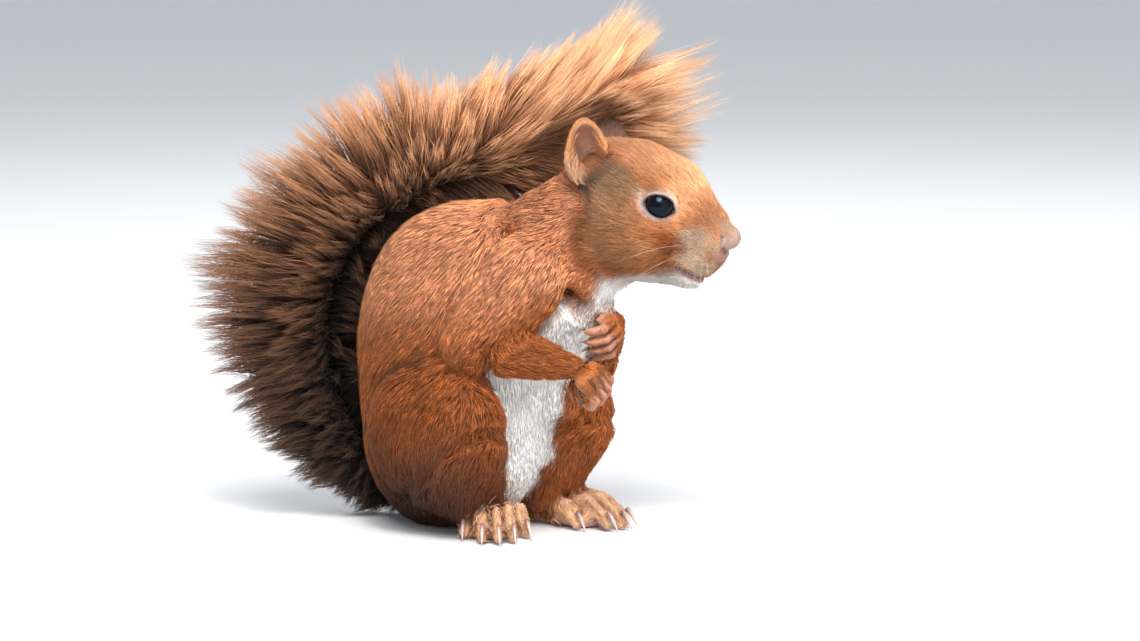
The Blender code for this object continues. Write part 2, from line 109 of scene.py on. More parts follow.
def mesh_object(name, vertices, triangles):
    """An object from an array of places in millimetres and an array of triangles."""
    data = bpy.data.meshes.new(name)
    data.vertices.add(len(vertices))
    data.vertices.foreach_set("co", (np.asarray(vertices) * MM).astype(np.float32).ravel())
    data.loops.add(triangles.size)
    data.loops.foreach_set("vertex_index", triangles.astype(np.int32).ravel())
    data.polygons.add(len(triangles))
    data.polygons.foreach_set("loop_start", np.arange(0, triangles.size, 3, dtype=np.int32))
    data.update(calc_edges=True)
    data.shade_smooth()
    made = bpy.data.objects.new(name, data)
    bpy.context.scene.collection.objects.link(made)
    return made


def paint(made, colours):
    """Stores a colour for each vertex, which the materials read."""
    layer = made.data.color_attributes.new("coat", "FLOAT_COLOR", "POINT")
    opaque = np.concatenate([np.clip(colours, 0, 1), np.ones((len(colours), 1))], axis=1)
    layer.data.foreach_set("color", opaque.astype(np.float32).ravel())


def tube(points, radii, sides=12, closed=False, flatness=1.0, upward=(0, 0, 1)):
    """Rings round a line of points: vertices and triangles. Radii taper it; flatness squeezes it."""
    points, radii = np.asarray(points, float), np.asarray(radii, float)
    along = np.roll(points, -1, 0) - np.roll(points, 1, 0)
    if not closed:
        along = np.gradient(points, axis=0)
    across = unit(np.cross(along, np.asarray(upward, float)))
    above = unit(np.cross(across, along))
    turn = np.linspace(0, 2 * math.pi, sides, endpoint=False)[None, :, None]
    ring = np.cos(turn) * across[:, None] + flatness * np.sin(turn) * above[:, None]
    vertices = (points[:, None] + ring * radii[:, None, None]).reshape(-1, 3)
    count = len(points)
    rows = np.arange(count if closed else count - 1)
    here, there = rows[:, None] * sides, ((rows + 1) % count)[:, None] * sides
    step, after = np.arange(sides), (np.arange(sides) + 1) % sides
    first = np.stack([here + step, here + after, there + after], axis=-1)
    second = np.stack([here + step, there + after, there + step], axis=-1)
    triangles = np.concatenate([first.reshape(-1, 3), second.reshape(-1, 3)])
    if not closed:
        fan = np.arange(1, sides - 1)
        start = np.stack([np.zeros_like(fan), fan + 1, fan], axis=-1)
        end = np.stack([np.zeros_like(fan), fan, fan + 1], axis=-1) + (count - 1) * sides
        triangles = np.concatenate([triangles, start, end])
    return vertices, triangles


# ---------------------------------------------------------------- landmarks

EYES = {side: middle(f"eye_{side}") for side in SIDES}
EYE_RADIUS = float((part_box("eye_right")[1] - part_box("eye_right")[0])[2]) / MM / 2
BROW = (EYES["right"] + EYES["left"]) / 2
NOSE_DIP = math.radians(6.6)  # how far below the head's own level the nose lies, seen from the brow


def head_axes():
    """Forward, left and up of the head, as the columns of a matrix."""
    left = unit(EYES["left"] - EYES["right"])
    to_nose = middle("nose") - BROW
    to_nose = unit(to_nose - to_nose @ left * left)
    above = np.cross(to_nose, left)
    forward = math.cos(NOSE_DIP) * to_nose + math.sin(NOSE_DIP) * above
    return np.stack([forward, left, np.cross(forward, left)], axis=1)


HEAD = head_axes()
SKULL = BROW - HEAD @ np.array([18.0, 0.0, 3.6])  # midway between the ear holes


def in_head(points):
    """Places as distances forward, left and up from the middle of the skull."""
    return (points - SKULL) @ HEAD


def from_head(place):
    """A place given as distances forward, left and up from the middle of the skull."""
    return SKULL + HEAD @ np.asarray(place, float)


# The way each ear stands, and the way its hollow faces.
EAR_RISE = {"right": HEAD @ np.array([-0.42, -0.16, 0.90]), "left": HEAD @ np.array([-0.26, 0.22, 0.94])}
EAR_OPENING = {"right": HEAD @ np.array([0.34, -0.94, 0.10]), "left": HEAD @ np.array([0.55, 0.83, 0.05])}
EAR_TRIM = {"right": 0.09, "left": 0.17}  # how much lower than its coat the skin of each ear stands
EAR_NARROWING = 0.24  # how much narrower than its coat the skin of an ear is at its tip

# The line of the tail's bones, then how far its coat reaches outwards, inwards and to each side.
TAIL_STATIONS = (
    ((-12.0, 16.0, 17.0), 10, 10, 10),
    ((-21.6, 23.1, 10.0), 10, 10, 10),
    ((-35.6, 22.1, 20.0), 15, 11, 18),
    ((-45.6, 20.1, 42.0), 27, 12, 24),
    ((-47.6, 18.1, 60.0), 34, 13, 26),
    ((-42.6, 16.1, 79.0), 37, 14, 27),
    ((-30.6, 14.1, 95.0), 35, 13, 27),
    ((-13.6, 12.1, 107.0), 31, 14, 26),
    ((8.4, 10.1, 116.0), 24, 15, 25),
    ((31.4, 8.1, 123.0), 23, 15, 25),
    ((55.4, 7.1, 131.0), 28, 25, 25),
)
TAIL_ROOT_RADIUS, TAIL_TIP_RADIUS = 3.6, 1.3
TAIL_FLESH_END = 0.90  # the share of the line at which the tail's own flesh ends


class TailLine:
    """The tail's line as close samples, with its axes and the reach of its coat at each."""

    def __init__(self, count=240):
        spots = np.array([station[0] for station in TAIL_STATIONS], float)
        reach = np.array([station[1:] for station in TAIL_STATIONS], float)
        place = np.linspace(0, len(spots) - 1 - 1e-6, count)
        low, share = place.astype(int), (place % 1)[:, None]
        padded = np.concatenate([2 * spots[:1] - spots[1:2], spots, 2 * spots[-1:] - spots[-2:-1]])
        a, b, c, d = (padded[low + k] for k in range(4))
        self.points = 0.5 * (
            2 * b + (c - a) * share + (2 * a - 5 * b + 4 * c - d) * share**2
            + (3 * b - a - 3 * c + d) * share**3
        )
        self.reach = reach[low] * (1 - share) + reach[low + 1] * share
        self.ahead = unit(np.gradient(self.points, axis=0))
        self.side = flattened(np.tile([0.0, 1.0, 0.0], (count, 1)), self.ahead)
        self.out = np.cross(self.ahead, self.side)
        self.share = np.linspace(0, 1, count)

    def at(self, share):
        """The nearest sample to each share of the line."""
        return np.clip(np.rint(share * (len(self.share) - 1)).astype(int), 0, len(self.share) - 1)

    def nearest(self, points):
        """The sample nearest to each point, and its distance."""
        best = np.full(len(points), 1e9)
        index = np.zeros(len(points), int)
        for number, spot in enumerate(self.points):
            distance = ((points - spot) ** 2).sum(axis=1)
            closer = distance < best
            best[closer], index[closer] = distance[closer], number
        return index, np.sqrt(best)


TAIL = TailLine()

# ---------------------------------------------------------------- the skin

SKIN_STEP = 0.55  # the step of the grid that the skin is grown on
SWELL = 0.45  # closes the gaps between neighbouring flesh nodes
DIGIT_SWELL = 0.1  # the share of it on hands and feet, where the gaps between digits stay open
SKIN_TRIANGLES = 185_000
SKIN_GAP = 0.06  # how far over the floor the lowest skin is
EYE_AXIS = {side: unit(HEAD @ np.array([0.25, way * 0.96, 0.06])) for side, way in SIDES.items()}
LID_LENGTH, LID_HEIGHT = math.radians(62), math.radians(38)  # half of the opening, seen from the eye
LID_ROOT = math.radians(84)  # where the lids go under the skin of the face

# How deep the coat is on each part, from the flesh node's surface down to the skin.
COAT_DEPTH = {
    "trunk": 2.4, "neck": 1.9, "head": 0.8, "nose": 0.0, "ear": 0.2, "upper_arm": 2.0,
    "forearm": 1.2, "hand": 0.3, "thigh": 2.2, "shank": 1.8, "foot": 0.3, "tail": 0.0,
}
KINDS = list(COAT_DEPTH)


def kind_of(node):
    """A part's name without its side."""
    return node.removesuffix("_right").removesuffix("_left")


def of_kinds(shares, *names):
    """The sum of the columns of some kinds of part."""
    return shares[:, [KINDS.index(name) for name in names]].sum(axis=1)


def eye_directions(side, angle, tilt):
    """Directions from the eye's middle: tilt away from its axis, at an angle round it."""
    axis = EYE_AXIS[side]
    level = flattened(HEAD[:, 0], axis)
    above = np.cross(level, axis) * SIDES[side]
    ring = np.cos(angle)[:, None] * level + np.sin(angle)[:, None] * above
    return np.cos(tilt)[:, None] * axis + np.sin(tilt)[:, None] * ring


def lid_tilt(angle):
    """How far from the eye's axis the edge of the lids lies, at an angle round the eye."""
    wide, tall = np.cos(angle) / LID_LENGTH, np.sin(angle) / LID_HEIGHT
    oval = 1 / np.sqrt(wide**2 + tall**2)
    corner = np.exp(-((np.sin(angle) / 0.25) ** 2)) * math.radians(3)
    return oval + corner


def lid_shell(side):
    """Both lids as one thick shell round the ball, with a rounded edge, thicker above than below."""
    angle = np.linspace(0, 2 * math.pi, 72, endpoint=False)
    edge = lid_tilt(angle) - SWELL / EYE_RADIUS
    thick = SWELL + 0.62 + 0.25 * np.clip(np.sin(angle), 0, 1)
    far = np.full(72, LID_ROOT)
    section = (
        (edge, 0.1 + 0 * thick), (edge + 0.03, thick * 0.65), (edge + 0.12, thick * 0.95),
        (edge + 0.25, thick), (far, thick), (far, 0 * thick - 0.7), (edge + 0.16, 0 * thick - 0.7),
        (edge + 0.04, 0 * thick - 0.4),
    )
    rings = [EYES[side] + eye_directions(side, angle, tilt) * (EYE_RADIUS + over)[:, None]
             for tilt, over in section]
    sides, count = len(section), len(angle)
    vertices = np.stack(rings, axis=1).reshape(-1, 3)
    rows, step = np.arange(count)[:, None] * sides, np.arange(sides)
    after, onward = (step + 1) % sides, (rows + sides) % (count * sides)
    first = np.stack([rows + step, rows + after, onward + after], axis=-1).reshape(-1, 3)
    second = np.stack([rows + step, onward + after, onward + step], axis=-1).reshape(-1, 3)
    return vertices, np.concatenate([first, second])[:, ::-SIDES[side]]


def past_lid(points, side):
    """How far beyond the edge of the lids points lie, in millimetres round the eye."""
    axis = EYE_AXIS[side]
    level = flattened(HEAD[:, 0], axis)
    above = np.cross(level, axis) * SIDES[side]
    away = points - EYES[side]
    tilt = np.arccos(np.clip(unit(away) @ axis, -1, 1))
    edge = lid_tilt(np.arctan2(away @ above, away @ level))
    beyond = np.maximum(np.linalg.norm(away, axis=1) - EYE_RADIUS - 1.3, 0)
    return (tilt - edge) * EYE_RADIUS + beyond


def tail_core():
    """The tail's flesh: a thin tapered bar that starts inside the rump."""
    last = TAIL.at(TAIL_FLESH_END)
    rows = np.arange(0, last + 1, 3)
    share = rows / last
    radii = TAIL_ROOT_RADIUS + (TAIL_TIP_RADIUS - TAIL_ROOT_RADIUS) * share
    return tube(TAIL.points[rows], radii, sides=14, upward=(0, 1, 0))


def snout():
    """The bare tip of the muzzle, which carries the bridge straight on into the nose."""
    line = [from_head(place) for place in ((33.5, 0, 0.5), (37.0, 0, 0.4), (39.8, 0, 0.1), (41.2, 0, -0.2))]
    return tube(line, np.array([5.2, 4.3, 3.1, 2.2]) - SWELL * 0.5, sides=24, upward=(0.1, 0.9, 0.1))


def hollows():
    """Flesh that fills the hollow between belly and far leg, and the one under the throat."""
    groin = ((24, 3, 17), (24, -2, 22), (24, -2.5, 32), (24, 3, 38))
    yield tube(groin, [4, 8.5, 8.5, 4], sides=20, upward=(1, 0, 0))
    yield tube(((32, -14, 62), (36.5, -12, 67), (41, -10, 72)), [6, 7, 6], sides=20, upward=(0, 1, 0))


def grown_flesh():
    """All flesh nodes swollen to meet, with the tail's core and the lids, as one voxel-remeshed mesh."""
    whole = bmesh.new()
    for node in FLESH:
        piece = bmesh.new()
        piece.from_mesh(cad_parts[node].data)
        bmesh.ops.remove_doubles(piece, verts=piece.verts, dist=1e-6)
        bmesh.ops.recalc_face_normals(piece, faces=piece.faces)
        piece.normal_update()
        swell = SWELL * (DIGIT_SWELL if kind_of(node) in ("hand", "foot") else 1.0)
        for vertex in piece.verts:
            vertex.co += vertex.normal * swell * MM
        copied = bpy.data.meshes.new(node)
        piece.to_mesh(copied)
        piece.free()
        whole.from_mesh(copied)
        bpy.data.meshes.remove(copied)
    for vertices, triangles in (tail_core(), snout(), *hollows(), *(lid_shell(side) for side in SIDES)):
        extra = mesh_object("extra", vertices, triangles)
        whole.from_mesh(extra.data)
        bpy.data.objects.remove(extra)
    data = bpy.data.meshes.new("skin")
    whole.to_mesh(data)
    whole.free()
    made = bpy.data.objects.new("skin", data)
    bpy.context.scene.collection.objects.link(made)
    remesh = made.modifiers.new("One surface", "REMESH")
    remesh.mode = "VOXEL"
    remesh.voxel_size = SKIN_STEP * MM
    evaluate(made)
    return made


def evaluate(made):
    """Replaces an object's mesh with what its modifiers make of it."""
    graph = bpy.context.evaluated_depsgraph_get()
    result = bpy.data.meshes.new_from_object(made.evaluated_get(graph))
    made.modifiers.clear()
    made.data = result


class Net:
    """Which vertices of a mesh share an edge."""

    def __init__(self, data):
        edges = np.zeros(len(data.edges) * 2, np.int32)
        data.edges.foreach_get("vertices", edges)
        edges = edges.reshape(-1, 2)
        ends = np.concatenate([edges, edges[:, ::-1]])
        ends = ends[np.argsort(ends[:, 0], kind="stable")]
        self.others = ends[:, 1]
        self.starts = np.searchsorted(ends[:, 0], np.arange(len(data.vertices)))
        self.degree = np.diff(np.append(self.starts, len(ends)))[:, None]

    def average(self, values):
        """The mean of each vertex's neighbours."""
        return np.add.reduceat(values[self.others], self.starts) / self.degree

    def smoothed(self, values, times, strength=1.0):
        """Values drawn so many times towards the mean of their neighbours."""
        for _ in range(times):
            values = values + (self.average(values) - values) * strength
        return values


def places(data):
    """A mesh's vertices, in millimetres."""
    spots = np.zeros(len(data.vertices) * 3, np.float32)
    data.vertices.foreach_get("co", spots)
    return spots.reshape(-1, 3).astype(float) / MM


def put_places(data, points):
    """Moves a mesh's vertices to places in millimetres."""
    data.vertices.foreach_set("co", (points * MM).astype(np.float32).ravel())
    data.update()


def facing(data):
    """The direction that each vertex of a mesh faces."""
    normals = np.zeros(len(data.vertices) * 3, np.float32)
    data.vertex_normals.foreach_get("vector", normals)
    return normals.reshape(-1, 3).astype(float)


def flesh_tree():
    """A search tree of the flesh nodes' triangles, and the node of each triangle."""
    corners, faces, owners = [], [], []
    for number, node in enumerate(FLESH):
        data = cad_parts[node].data
        start = sum(len(block) for block in corners)
        corners.append(places(data))
        faces += [tuple(start + index for index in face.vertices) for face in data.polygons]
        owners += [number] * len(data.polygons)
    return BVHTree.FromPolygons(np.concatenate(corners).tolist(), faces), np.array(owners)


def nearest_nodes(points):
    """For each point, the number in FLESH of the nearest node, or -1 on the tail's core."""
    tree, owners = flesh_tree()
    hits = [tree.find_nearest(spot) for spot in points.tolist()]
    nodes = owners[[hit[2] for hit in hits]]
    away = np.array([hit[3] for hit in hits])
    _, distance = TAIL.nearest(points)
    core = (away > SWELL + 0.8) & (distance < TAIL_ROOT_RADIUS + 0.8)
    nodes[core] = -1
    return nodes


def shares_of_kinds(nodes):
    """One column for each kind of part: 1 where a vertex is on it."""
    kinds = np.array([KINDS.index(kind_of(node)) for node in FLESH] + [KINDS.index("tail")])
    return np.eye(len(KINDS))[kinds[nodes]]


def pressed(points, normals, distance, width, depth):
    """Moves points in by depth where distance is small, fading out over width."""
    return points - normals * (depth * np.exp(-((distance / width) ** 2)))[:, None]


def line_distance(points, line):
    """How far points are from a bent line."""
    line = np.asarray(line, float)
    best = np.full(len(points), 1e9)
    for start, end in zip(line, line[1:]):
        span = end - start
        share = np.clip((points - start) @ span / (span @ span), 0, 1)
        best = np.minimum(best, np.linalg.norm(points - start - share[:, None] * span, axis=1))
    return best


# Lines seen from the side of the head: forward and up.
NOSTRIL = ((38.5, 0.8), (38.9, -0.7), (39.5, -2.2), (40.4, -3.4))
MOUTH = ((40.0, -13.0), (36.1, -13.6), (31.6, -12.9), (26.5, -12.3), (25.0, -12.6))
LIP_SEAM = ((41.5, -5.0), (39.6, -7.2), (38.4, -10.0), (37.4, -13.0))


def nostril_distance(half):
    """How far places on the left half of the head lie from the nostril, seen from the side."""
    return np.hypot(line_distance(half[:, [0, 2]], NOSTRIL), np.clip(1.6 - half[:, 1], 0, None))


def carve_face(points, normals):
    """The chin, the nostrils, the seam under the nose, and the mouth between its lips."""
    chin = np.linalg.norm(in_head(points) - [33.5, 0, -15.5], axis=1)
    points = points + HEAD[:, 0] * (1.9 * np.exp(-((chin / 5.0) ** 2)))[:, None]
    place = in_head(points)
    half = place * [1, 0, 1] + np.abs(place) * [0, 1, 0]
    near = (np.linalg.norm(half - [33, 0, -6], axis=1) < 20)
    spots, faces, half = points[near], normals[near], half[near]
    profile = half[:, [0, 2]]
    spots = pressed(spots, faces, nostril_distance(half), 0.6, 1.5)
    seam = np.hypot(line_distance(profile, LIP_SEAM), half[:, 1] * 1.4)
    spots = pressed(spots, faces, seam, 0.8, 0.55)
    above_mouth = line_distance(profile - [0, 1.6], MOUTH)
    spots = pressed(spots, faces, above_mouth, 1.1, -0.35)
    spots = pressed(spots, faces, line_distance(profile, MOUTH), 0.6, 1.0)
    points[near] = spots
    return points


# Where the middle toe starts and which way it aims; then each toe's fan, reach and setback.
TOE_START = {"right": ((7.87, -21.94), -84.0), "left": ((35.87, 0.06), -38.0)}
TOE_SHAPE = ((13.0, 9.5, 6.0), (5.0, 12.5, 1.0), (0.0, 13.5, 0.0), (-5.0, 12.5, 1.0), (-14.0, 9.0, 6.5))
TOE_SPACING, FINGER_SPACING = 3.6, 2.9
WRIST = {"right": (32.87, -33.94, 53.0), "left": (43.87, -16.44, 64.5)}
HAND_AIM = {"right": (0.80, -0.05, -0.60), "left": (-0.15, -0.85, -0.50)}
HAND_BACK = {"right": (0.35, -0.72, 0.60), "left": (0.93, -0.12, 0.20)}
# How far each joint of a finger lies ahead of the last one and out of the back of the hand.
FINGER_BENDS = {
    "right": ((4.2, -1.2), (0.4, -3.6), (-2.4, -1.4)),
    "left": ((3.4, -0.6), (0.8, -3.2), (-0.2, -2.4)),
}


def heading(degrees):
    """A level direction, turned from X towards Y."""
    return np.array([math.cos(math.radians(degrees)), math.sin(math.radians(degrees)), 0.0])


def toe_path(side, number):
    """A toe's line from behind its root, over its knuckle, to past its tip."""
    (x, y), aim = TOE_START[side]
    fan, reach, setback = TOE_SHAPE[number]
    across = heading(aim + 90 * SIDES[side])
    way = heading(aim - fan * SIDES[side])
    root = np.array([x, y, 0.0]) + across * (number - 2) * TOE_SPACING - heading(aim) * setback
    steps = ((-0.15, 7.0), (0.34, 8.3), (0.78, 4.6), (1.0, 1.9), (1.1, 0.8))
    return np.array([root + way * reach * share + [0, 0, height] for share, height in steps])


def hand_axes(side):
    """Along the palm, across the knuckles from the inner finger outwards, and out of its back."""
    aim, back = unit(np.array(HAND_AIM[side])), np.array(HAND_BACK[side])
    across = unit(np.cross(back, aim)) * SIDES[side]
    return aim, across, np.cross(aim, across) * SIDES[side]


def finger_path(side, number):
    """A finger's line from behind its knuckle, round its joints, to its tip."""
    aim, across, back = hand_axes(side)
    place = number - 1.5
    knuckle = np.array(WRIST[side]) + aim * (6.5 - 0.5 * place**2) + across * place * FINGER_SPACING
    fan = unit(aim + across * 0.08 * place)
    joints = [knuckle - aim * 2.0, knuckle]
    for ahead, out in FINGER_BENDS[side]:
        joints.append(joints[-1] + fan * ahead + back * out)
    return np.array(joints)


def digit_gap(points, kind, side, width):
    """1 in the middle of the gap between two neighbouring digits, fading over the width."""
    if kind == "toe":
        paths = [toe_path(side, number) for number in range(5)]
        across, thick, fade = heading(TOE_START[side][1] + 90), 3.4, 2.5
    else:
        paths = [finger_path(side, number) for number in range(4)]
        across, thick, fade = hand_axes(side)[1], 2.4, 1.5
    gap = np.zeros(len(points))
    near = np.linalg.norm(points - paths[1][1], axis=1) < 24
    spots = points[near]
    worst = np.zeros(len(spots))
    for first, second in zip(paths, paths[1:]):
        offset, passed = off_line(spots, (first + second) / 2)
        between = np.exp(-((offset @ across / width) ** 2)) * ramp(0, fade, passed)
        beyond = ramp(thick, thick * 1.4, np.linalg.norm(offset, axis=1))
        worst = np.maximum(worst, between * (1 - beyond))
    gap[near] = worst
    return gap


def off_line(points, line):
    """Each point's offset from the nearest place on a bent line, and how far along that place is."""
    best, passed = np.full(len(points), 1e9), 0.0
    offset, place = np.zeros_like(points), np.zeros(len(points))
    for start, end in zip(line, line[1:]):
        size = np.linalg.norm(end - start)
        share = np.clip((points - start) @ (end - start) / size**2, 0, 1)
        away = points - start - share[:, None] * (end - start)
        distance = np.linalg.norm(away, axis=1)
        closer = distance < best
        best[closer], offset[closer] = distance[closer], away[closer]
        place[closer] = (passed + share * size)[closer]
        passed += size
    return offset, place


def part_digits(points, normals):
    """Grooves between neighbouring toes and fingers."""
    for kind, deep, width in (("toe", 2.8, 0.75), ("finger", 1.6, 0.55)):
        for side in SIDES:
            points = points - normals * (deep * digit_gap(points, kind, side, width))[:, None]
    return points


def coat_depth(points, shares):
    """How far in from the flesh nodes' surface the skin lies."""
    depth = shares @ np.array([COAT_DEPTH[kind] for kind in KINDS])
    for side in SIDES:
        away = np.linalg.norm(points - EYES[side], axis=1)
        depth *= ramp(EYE_RADIUS + 1.5, EYE_RADIUS + 6.0, away)
    forward, left, above = in_head(points).T
    muzzle = ramp(26, 36, forward) * (np.abs(left) < 14) * (above > -24)
    return depth * (1 - 0.75 * muzzle)


def evened(points, net, soft):
    """The grown flesh smoothed, and filled where neck, arms and legs join the trunk.

    Ears, digits, nose and lids keep their shape. The second result is 1 at the nose's tip.
    """
    fine = of_kinds(soft, "ear", "hand", "foot", "nose")
    lids = np.min([np.linalg.norm(points - EYES[side], axis=1) for side in SIDES], axis=0)
    still = np.clip(fine + 1 - ramp(EYE_RADIUS + 0.5, EYE_RADIUS + 3, lids), 0, 1)[:, None]
    for step in range(60):
        pull = (0.55 if step % 2 == 0 else -0.57) * (1 - still) + 0.2 * still * (step < 6)
        points = points + (net.average(points) - points) * pull
    wide = net.smoothed(soft, 90)
    torso, legs = of_kinds(wide, "trunk", "upper_arm"), of_kinds(wide, "thigh", "shank")
    neck, head = of_kinds(wide, "neck"), of_kinds(wide, "head")
    joined = 6 * neck * (head + torso) + 6 * torso * legs * bib(points)
    joined = np.clip(joined, 0, 1)[:, None] * (1 - still)
    for _ in range(70):
        points = points + (net.average(points) - points) * 0.6 * joined
    muzzle = (1 - ramp(4.5, 9, np.linalg.norm(points - middle("nose"), axis=1)))[:, None]
    for _ in range(24):
        points = points + (net.average(points) - points) * 0.5 * muzzle
    return points, muzzle


def drawn_in(points, data, net, soft, muzzle):
    """The skin under its coat: moved in by the coat's depth, but for the tail's core and the nose."""
    normals = unit(net.smoothed(facing(data), 3))
    depth = SWELL * (1 - (1 - DIGIT_SWELL) * of_kinds(soft, "hand", "foot")) + coat_depth(points, soft)
    moved = points - normals * (depth * (1 - of_kinds(soft, "tail")))[:, None]
    return net.smoothed(moved, 2, 0.4) + normals * muzzle * 0.55


def trimmed_ears(points, on_ear):
    """Each ear lowered, and narrowed towards its tip, to leave room for its coat."""
    for side, way in SIDES.items():
        base = from_head((-3, 11 * way, 3))
        rise = np.clip((points - base) @ EAR_RISE[side], 0, None) * on_ear
        near = np.linalg.norm(points - base, axis=1) < 30
        own = near * (np.sign((points - SKULL) @ HEAD[:, 1]) == way)
        sideways = unit(np.cross(EAR_RISE[side], EAR_OPENING[side]))
        narrow = EAR_NARROWING * ramp(5, 19, rise) * own * ((points - base) @ sideways)
        points = points - (rise * own * EAR_TRIM[side])[:, None] * EAR_RISE[side]
        points = points - narrow[:, None] * sideways
    return points


def thinned(made):
    """Brings the skin's mesh down to its number of triangles."""
    thin = made.modifiers.new("Thin", "DECIMATE")
    thin.ratio = min(1.0, SKIN_TRIANGLES / (2.0 * len(made.data.polygons)))
    evaluate(made)
    mesh = bmesh.new()
    mesh.from_mesh(made.data)
    bmesh.ops.triangulate(mesh, faces=mesh.faces)
    mesh.to_mesh(made.data)
    mesh.free()
    made.data.shade_smooth()
    return made


def make_skin():
    """The skin's mesh: grown, smoothed, drawn in under the coat, carved, and thinned."""
    made = grown_flesh()
    data = made.data
    net = Net(data)
    points = places(data)
    shares = shares_of_kinds(nearest_nodes(points))
    soft = net.smoothed(shares, 40)
    soles = (points[:, 2] < -SWELL * 0.5) & (of_kinds(shares, "foot") > 0.5)
    points, muzzle = evened(points, net, soft)
    put_places(data, points)
    points = drawn_in(points, data, net, soft, muzzle)
    points = trimmed_ears(points, of_kinds(shares, "ear") > 0.5)
    points[soles, 2] = SKIN_GAP
    put_places(data, lifted(points, SKIN_GAP))
    points = part_digits(points, unit(net.smoothed(facing(data), 2)))
    put_places(data, lifted(points, SKIN_GAP))
    put_places(data, carve_face(points, unit(net.smoothed(facing(data), 1))))
    return thinned(made)


def unwrap(made):
    """Lays the skin out flat, as the map that the coat's roots are placed on."""
    bpy.context.view_layer.objects.active = made
    made.select_set(True)
    bpy.ops.object.mode_set(mode="EDIT")
    bpy.ops.mesh.select_all(action="SELECT")
    bpy.ops.uv.smart_project(angle_limit=math.radians(66), island_margin=0.0)
    bpy.ops.object.mode_set(mode="OBJECT")
    made.data.uv_layers[0].name = "OFBake"
    flat = np.zeros(len(made.data.loops) * 2, np.float32)
    made.data.uv_layers[0].data.foreach_get("uv", flat)
    return flat.reshape(-1, 3, 2).astype(float)


class Hide:
    """The finished skin as arrays: what the coat grows from."""

    def __init__(self, made):
        data = made.data
        self.flat = unwrap(made)
        corners = np.zeros(len(data.loops), np.int32)
        data.loops.foreach_get("vertex_index", corners)
        self.triangles = corners.reshape(-1, 3)
        self.points = places(data)
        self.normals = facing(data)
        self.net = Net(data)
        self.tree = BVHTree.FromPolygons(self.points.tolist(), self.triangles.tolist())
        self.nodes = nearest_nodes(self.points)
        self.hard = shares_of_kinds(self.nodes)
        self.kinds = self.net.smoothed(self.hard, 12)
        self.wide = self.net.smoothed(self.kinds, 70)
        self.past_lids = np.min([past_lid(self.points, side) for side in SIDES], axis=0)
        a, b, c = (self.points[self.triangles[:, k]] for k in range(3))
        self.areas = np.linalg.norm(np.cross(b - a, c - a), axis=1) / 2

    def kind(self, *names):
        """How much of each vertex is on some kinds of part, fading where they meet others."""
        return of_kinds(self.kinds, *names)

    def node(self, name):
        """Whether each vertex is on a node."""
        return self.nodes == FLESH.index(name)

    def scatter(self, density):
        """Roots spread evenly over the skin, so many to a square millimetre of it."""
        expected = np.cumsum(density[self.triangles].mean(axis=1) * self.areas)
        count = int(expected[-1])
        picks = (np.arange(count) + rng.random(count)) * (expected[-1] / count)
        face = np.searchsorted(expected, picks)
        root, second = np.sqrt(rng.random(count)), rng.random(count)
        share = np.stack([1 - root, root * (1 - second), root * second], axis=1)
        return Roots(self, face, share)

    def settle(self, points, height):
        """Each point brought to its height over the nearest skin, and the skin's facing there."""
        spots, normals = [], []
        for spot in points.tolist():
            place, normal, _, _ = self.tree.find_nearest(spot)
            spots.append(place)
            normals.append(normal)
        spots, normals = np.array(spots), np.array(normals)
        return spots + normals * height[:, None], normals


class Roots:
    """Where tufts grow: triangles of the skin and the place within each."""

    def __init__(self, hide, face, share):
        self.corners, self.share = hide.triangles[face], share
        self.points = self.at(hide.points)
        self.normals = unit(self.at(hide.normals))
        self.flat = (hide.flat[face] * share[:, :, None]).sum(axis=1)

    def __len__(self):
        return len(self.share)

    def at(self, values):
        """A value known at the skin's vertices, read at the roots."""
        share = self.share if values.ndim == 1 else self.share[:, :, None]
        return (values[self.corners] * share).sum(axis=1)


# ---------------------------------------------------------------- markings


def ear_place(points, side):
    """Height above the ear's base and distance across the ear, of each point."""
    base = from_head((-3, 11 * SIDES[side], 1))
    across = unit(np.cross(EAR_RISE[side], EAR_OPENING[side]))
    return (points - base) @ EAR_RISE[side], (points - base) @ across


RUSSET, PEACH, RUST = (0.45, 0.135, 0.034), (0.72, 0.32, 0.165), (0.30, 0.078, 0.018)
UMBER, WHITE, CREAM = (0.13, 0.040, 0.016), (0.93, 0.91, 0.88), (0.78, 0.60, 0.43)
GINGER, AMBER, OLIVE = (0.80, 0.41, 0.215), (0.56, 0.275, 0.125), (0.40, 0.26, 0.155)
GREY_TAN, PINK, INK = (0.50, 0.37, 0.27), (0.62, 0.36, 0.29), (0.010, 0.007, 0.008)
# The knuckles' pale colour is a painted highlight.
PAW, FOOT_TAN, KNUCKLE_HIGHLIGHT = (0.52, 0.165, 0.040), (1.0, 0.56, 0.33), (0.90, 0.66, 0.52)
# The dark colour of the gaps between digits is painted shade.
GAP_SHADE, FAR_EAR = (0.09, 0.030, 0.015), (0.16, 0.10, 0.09)

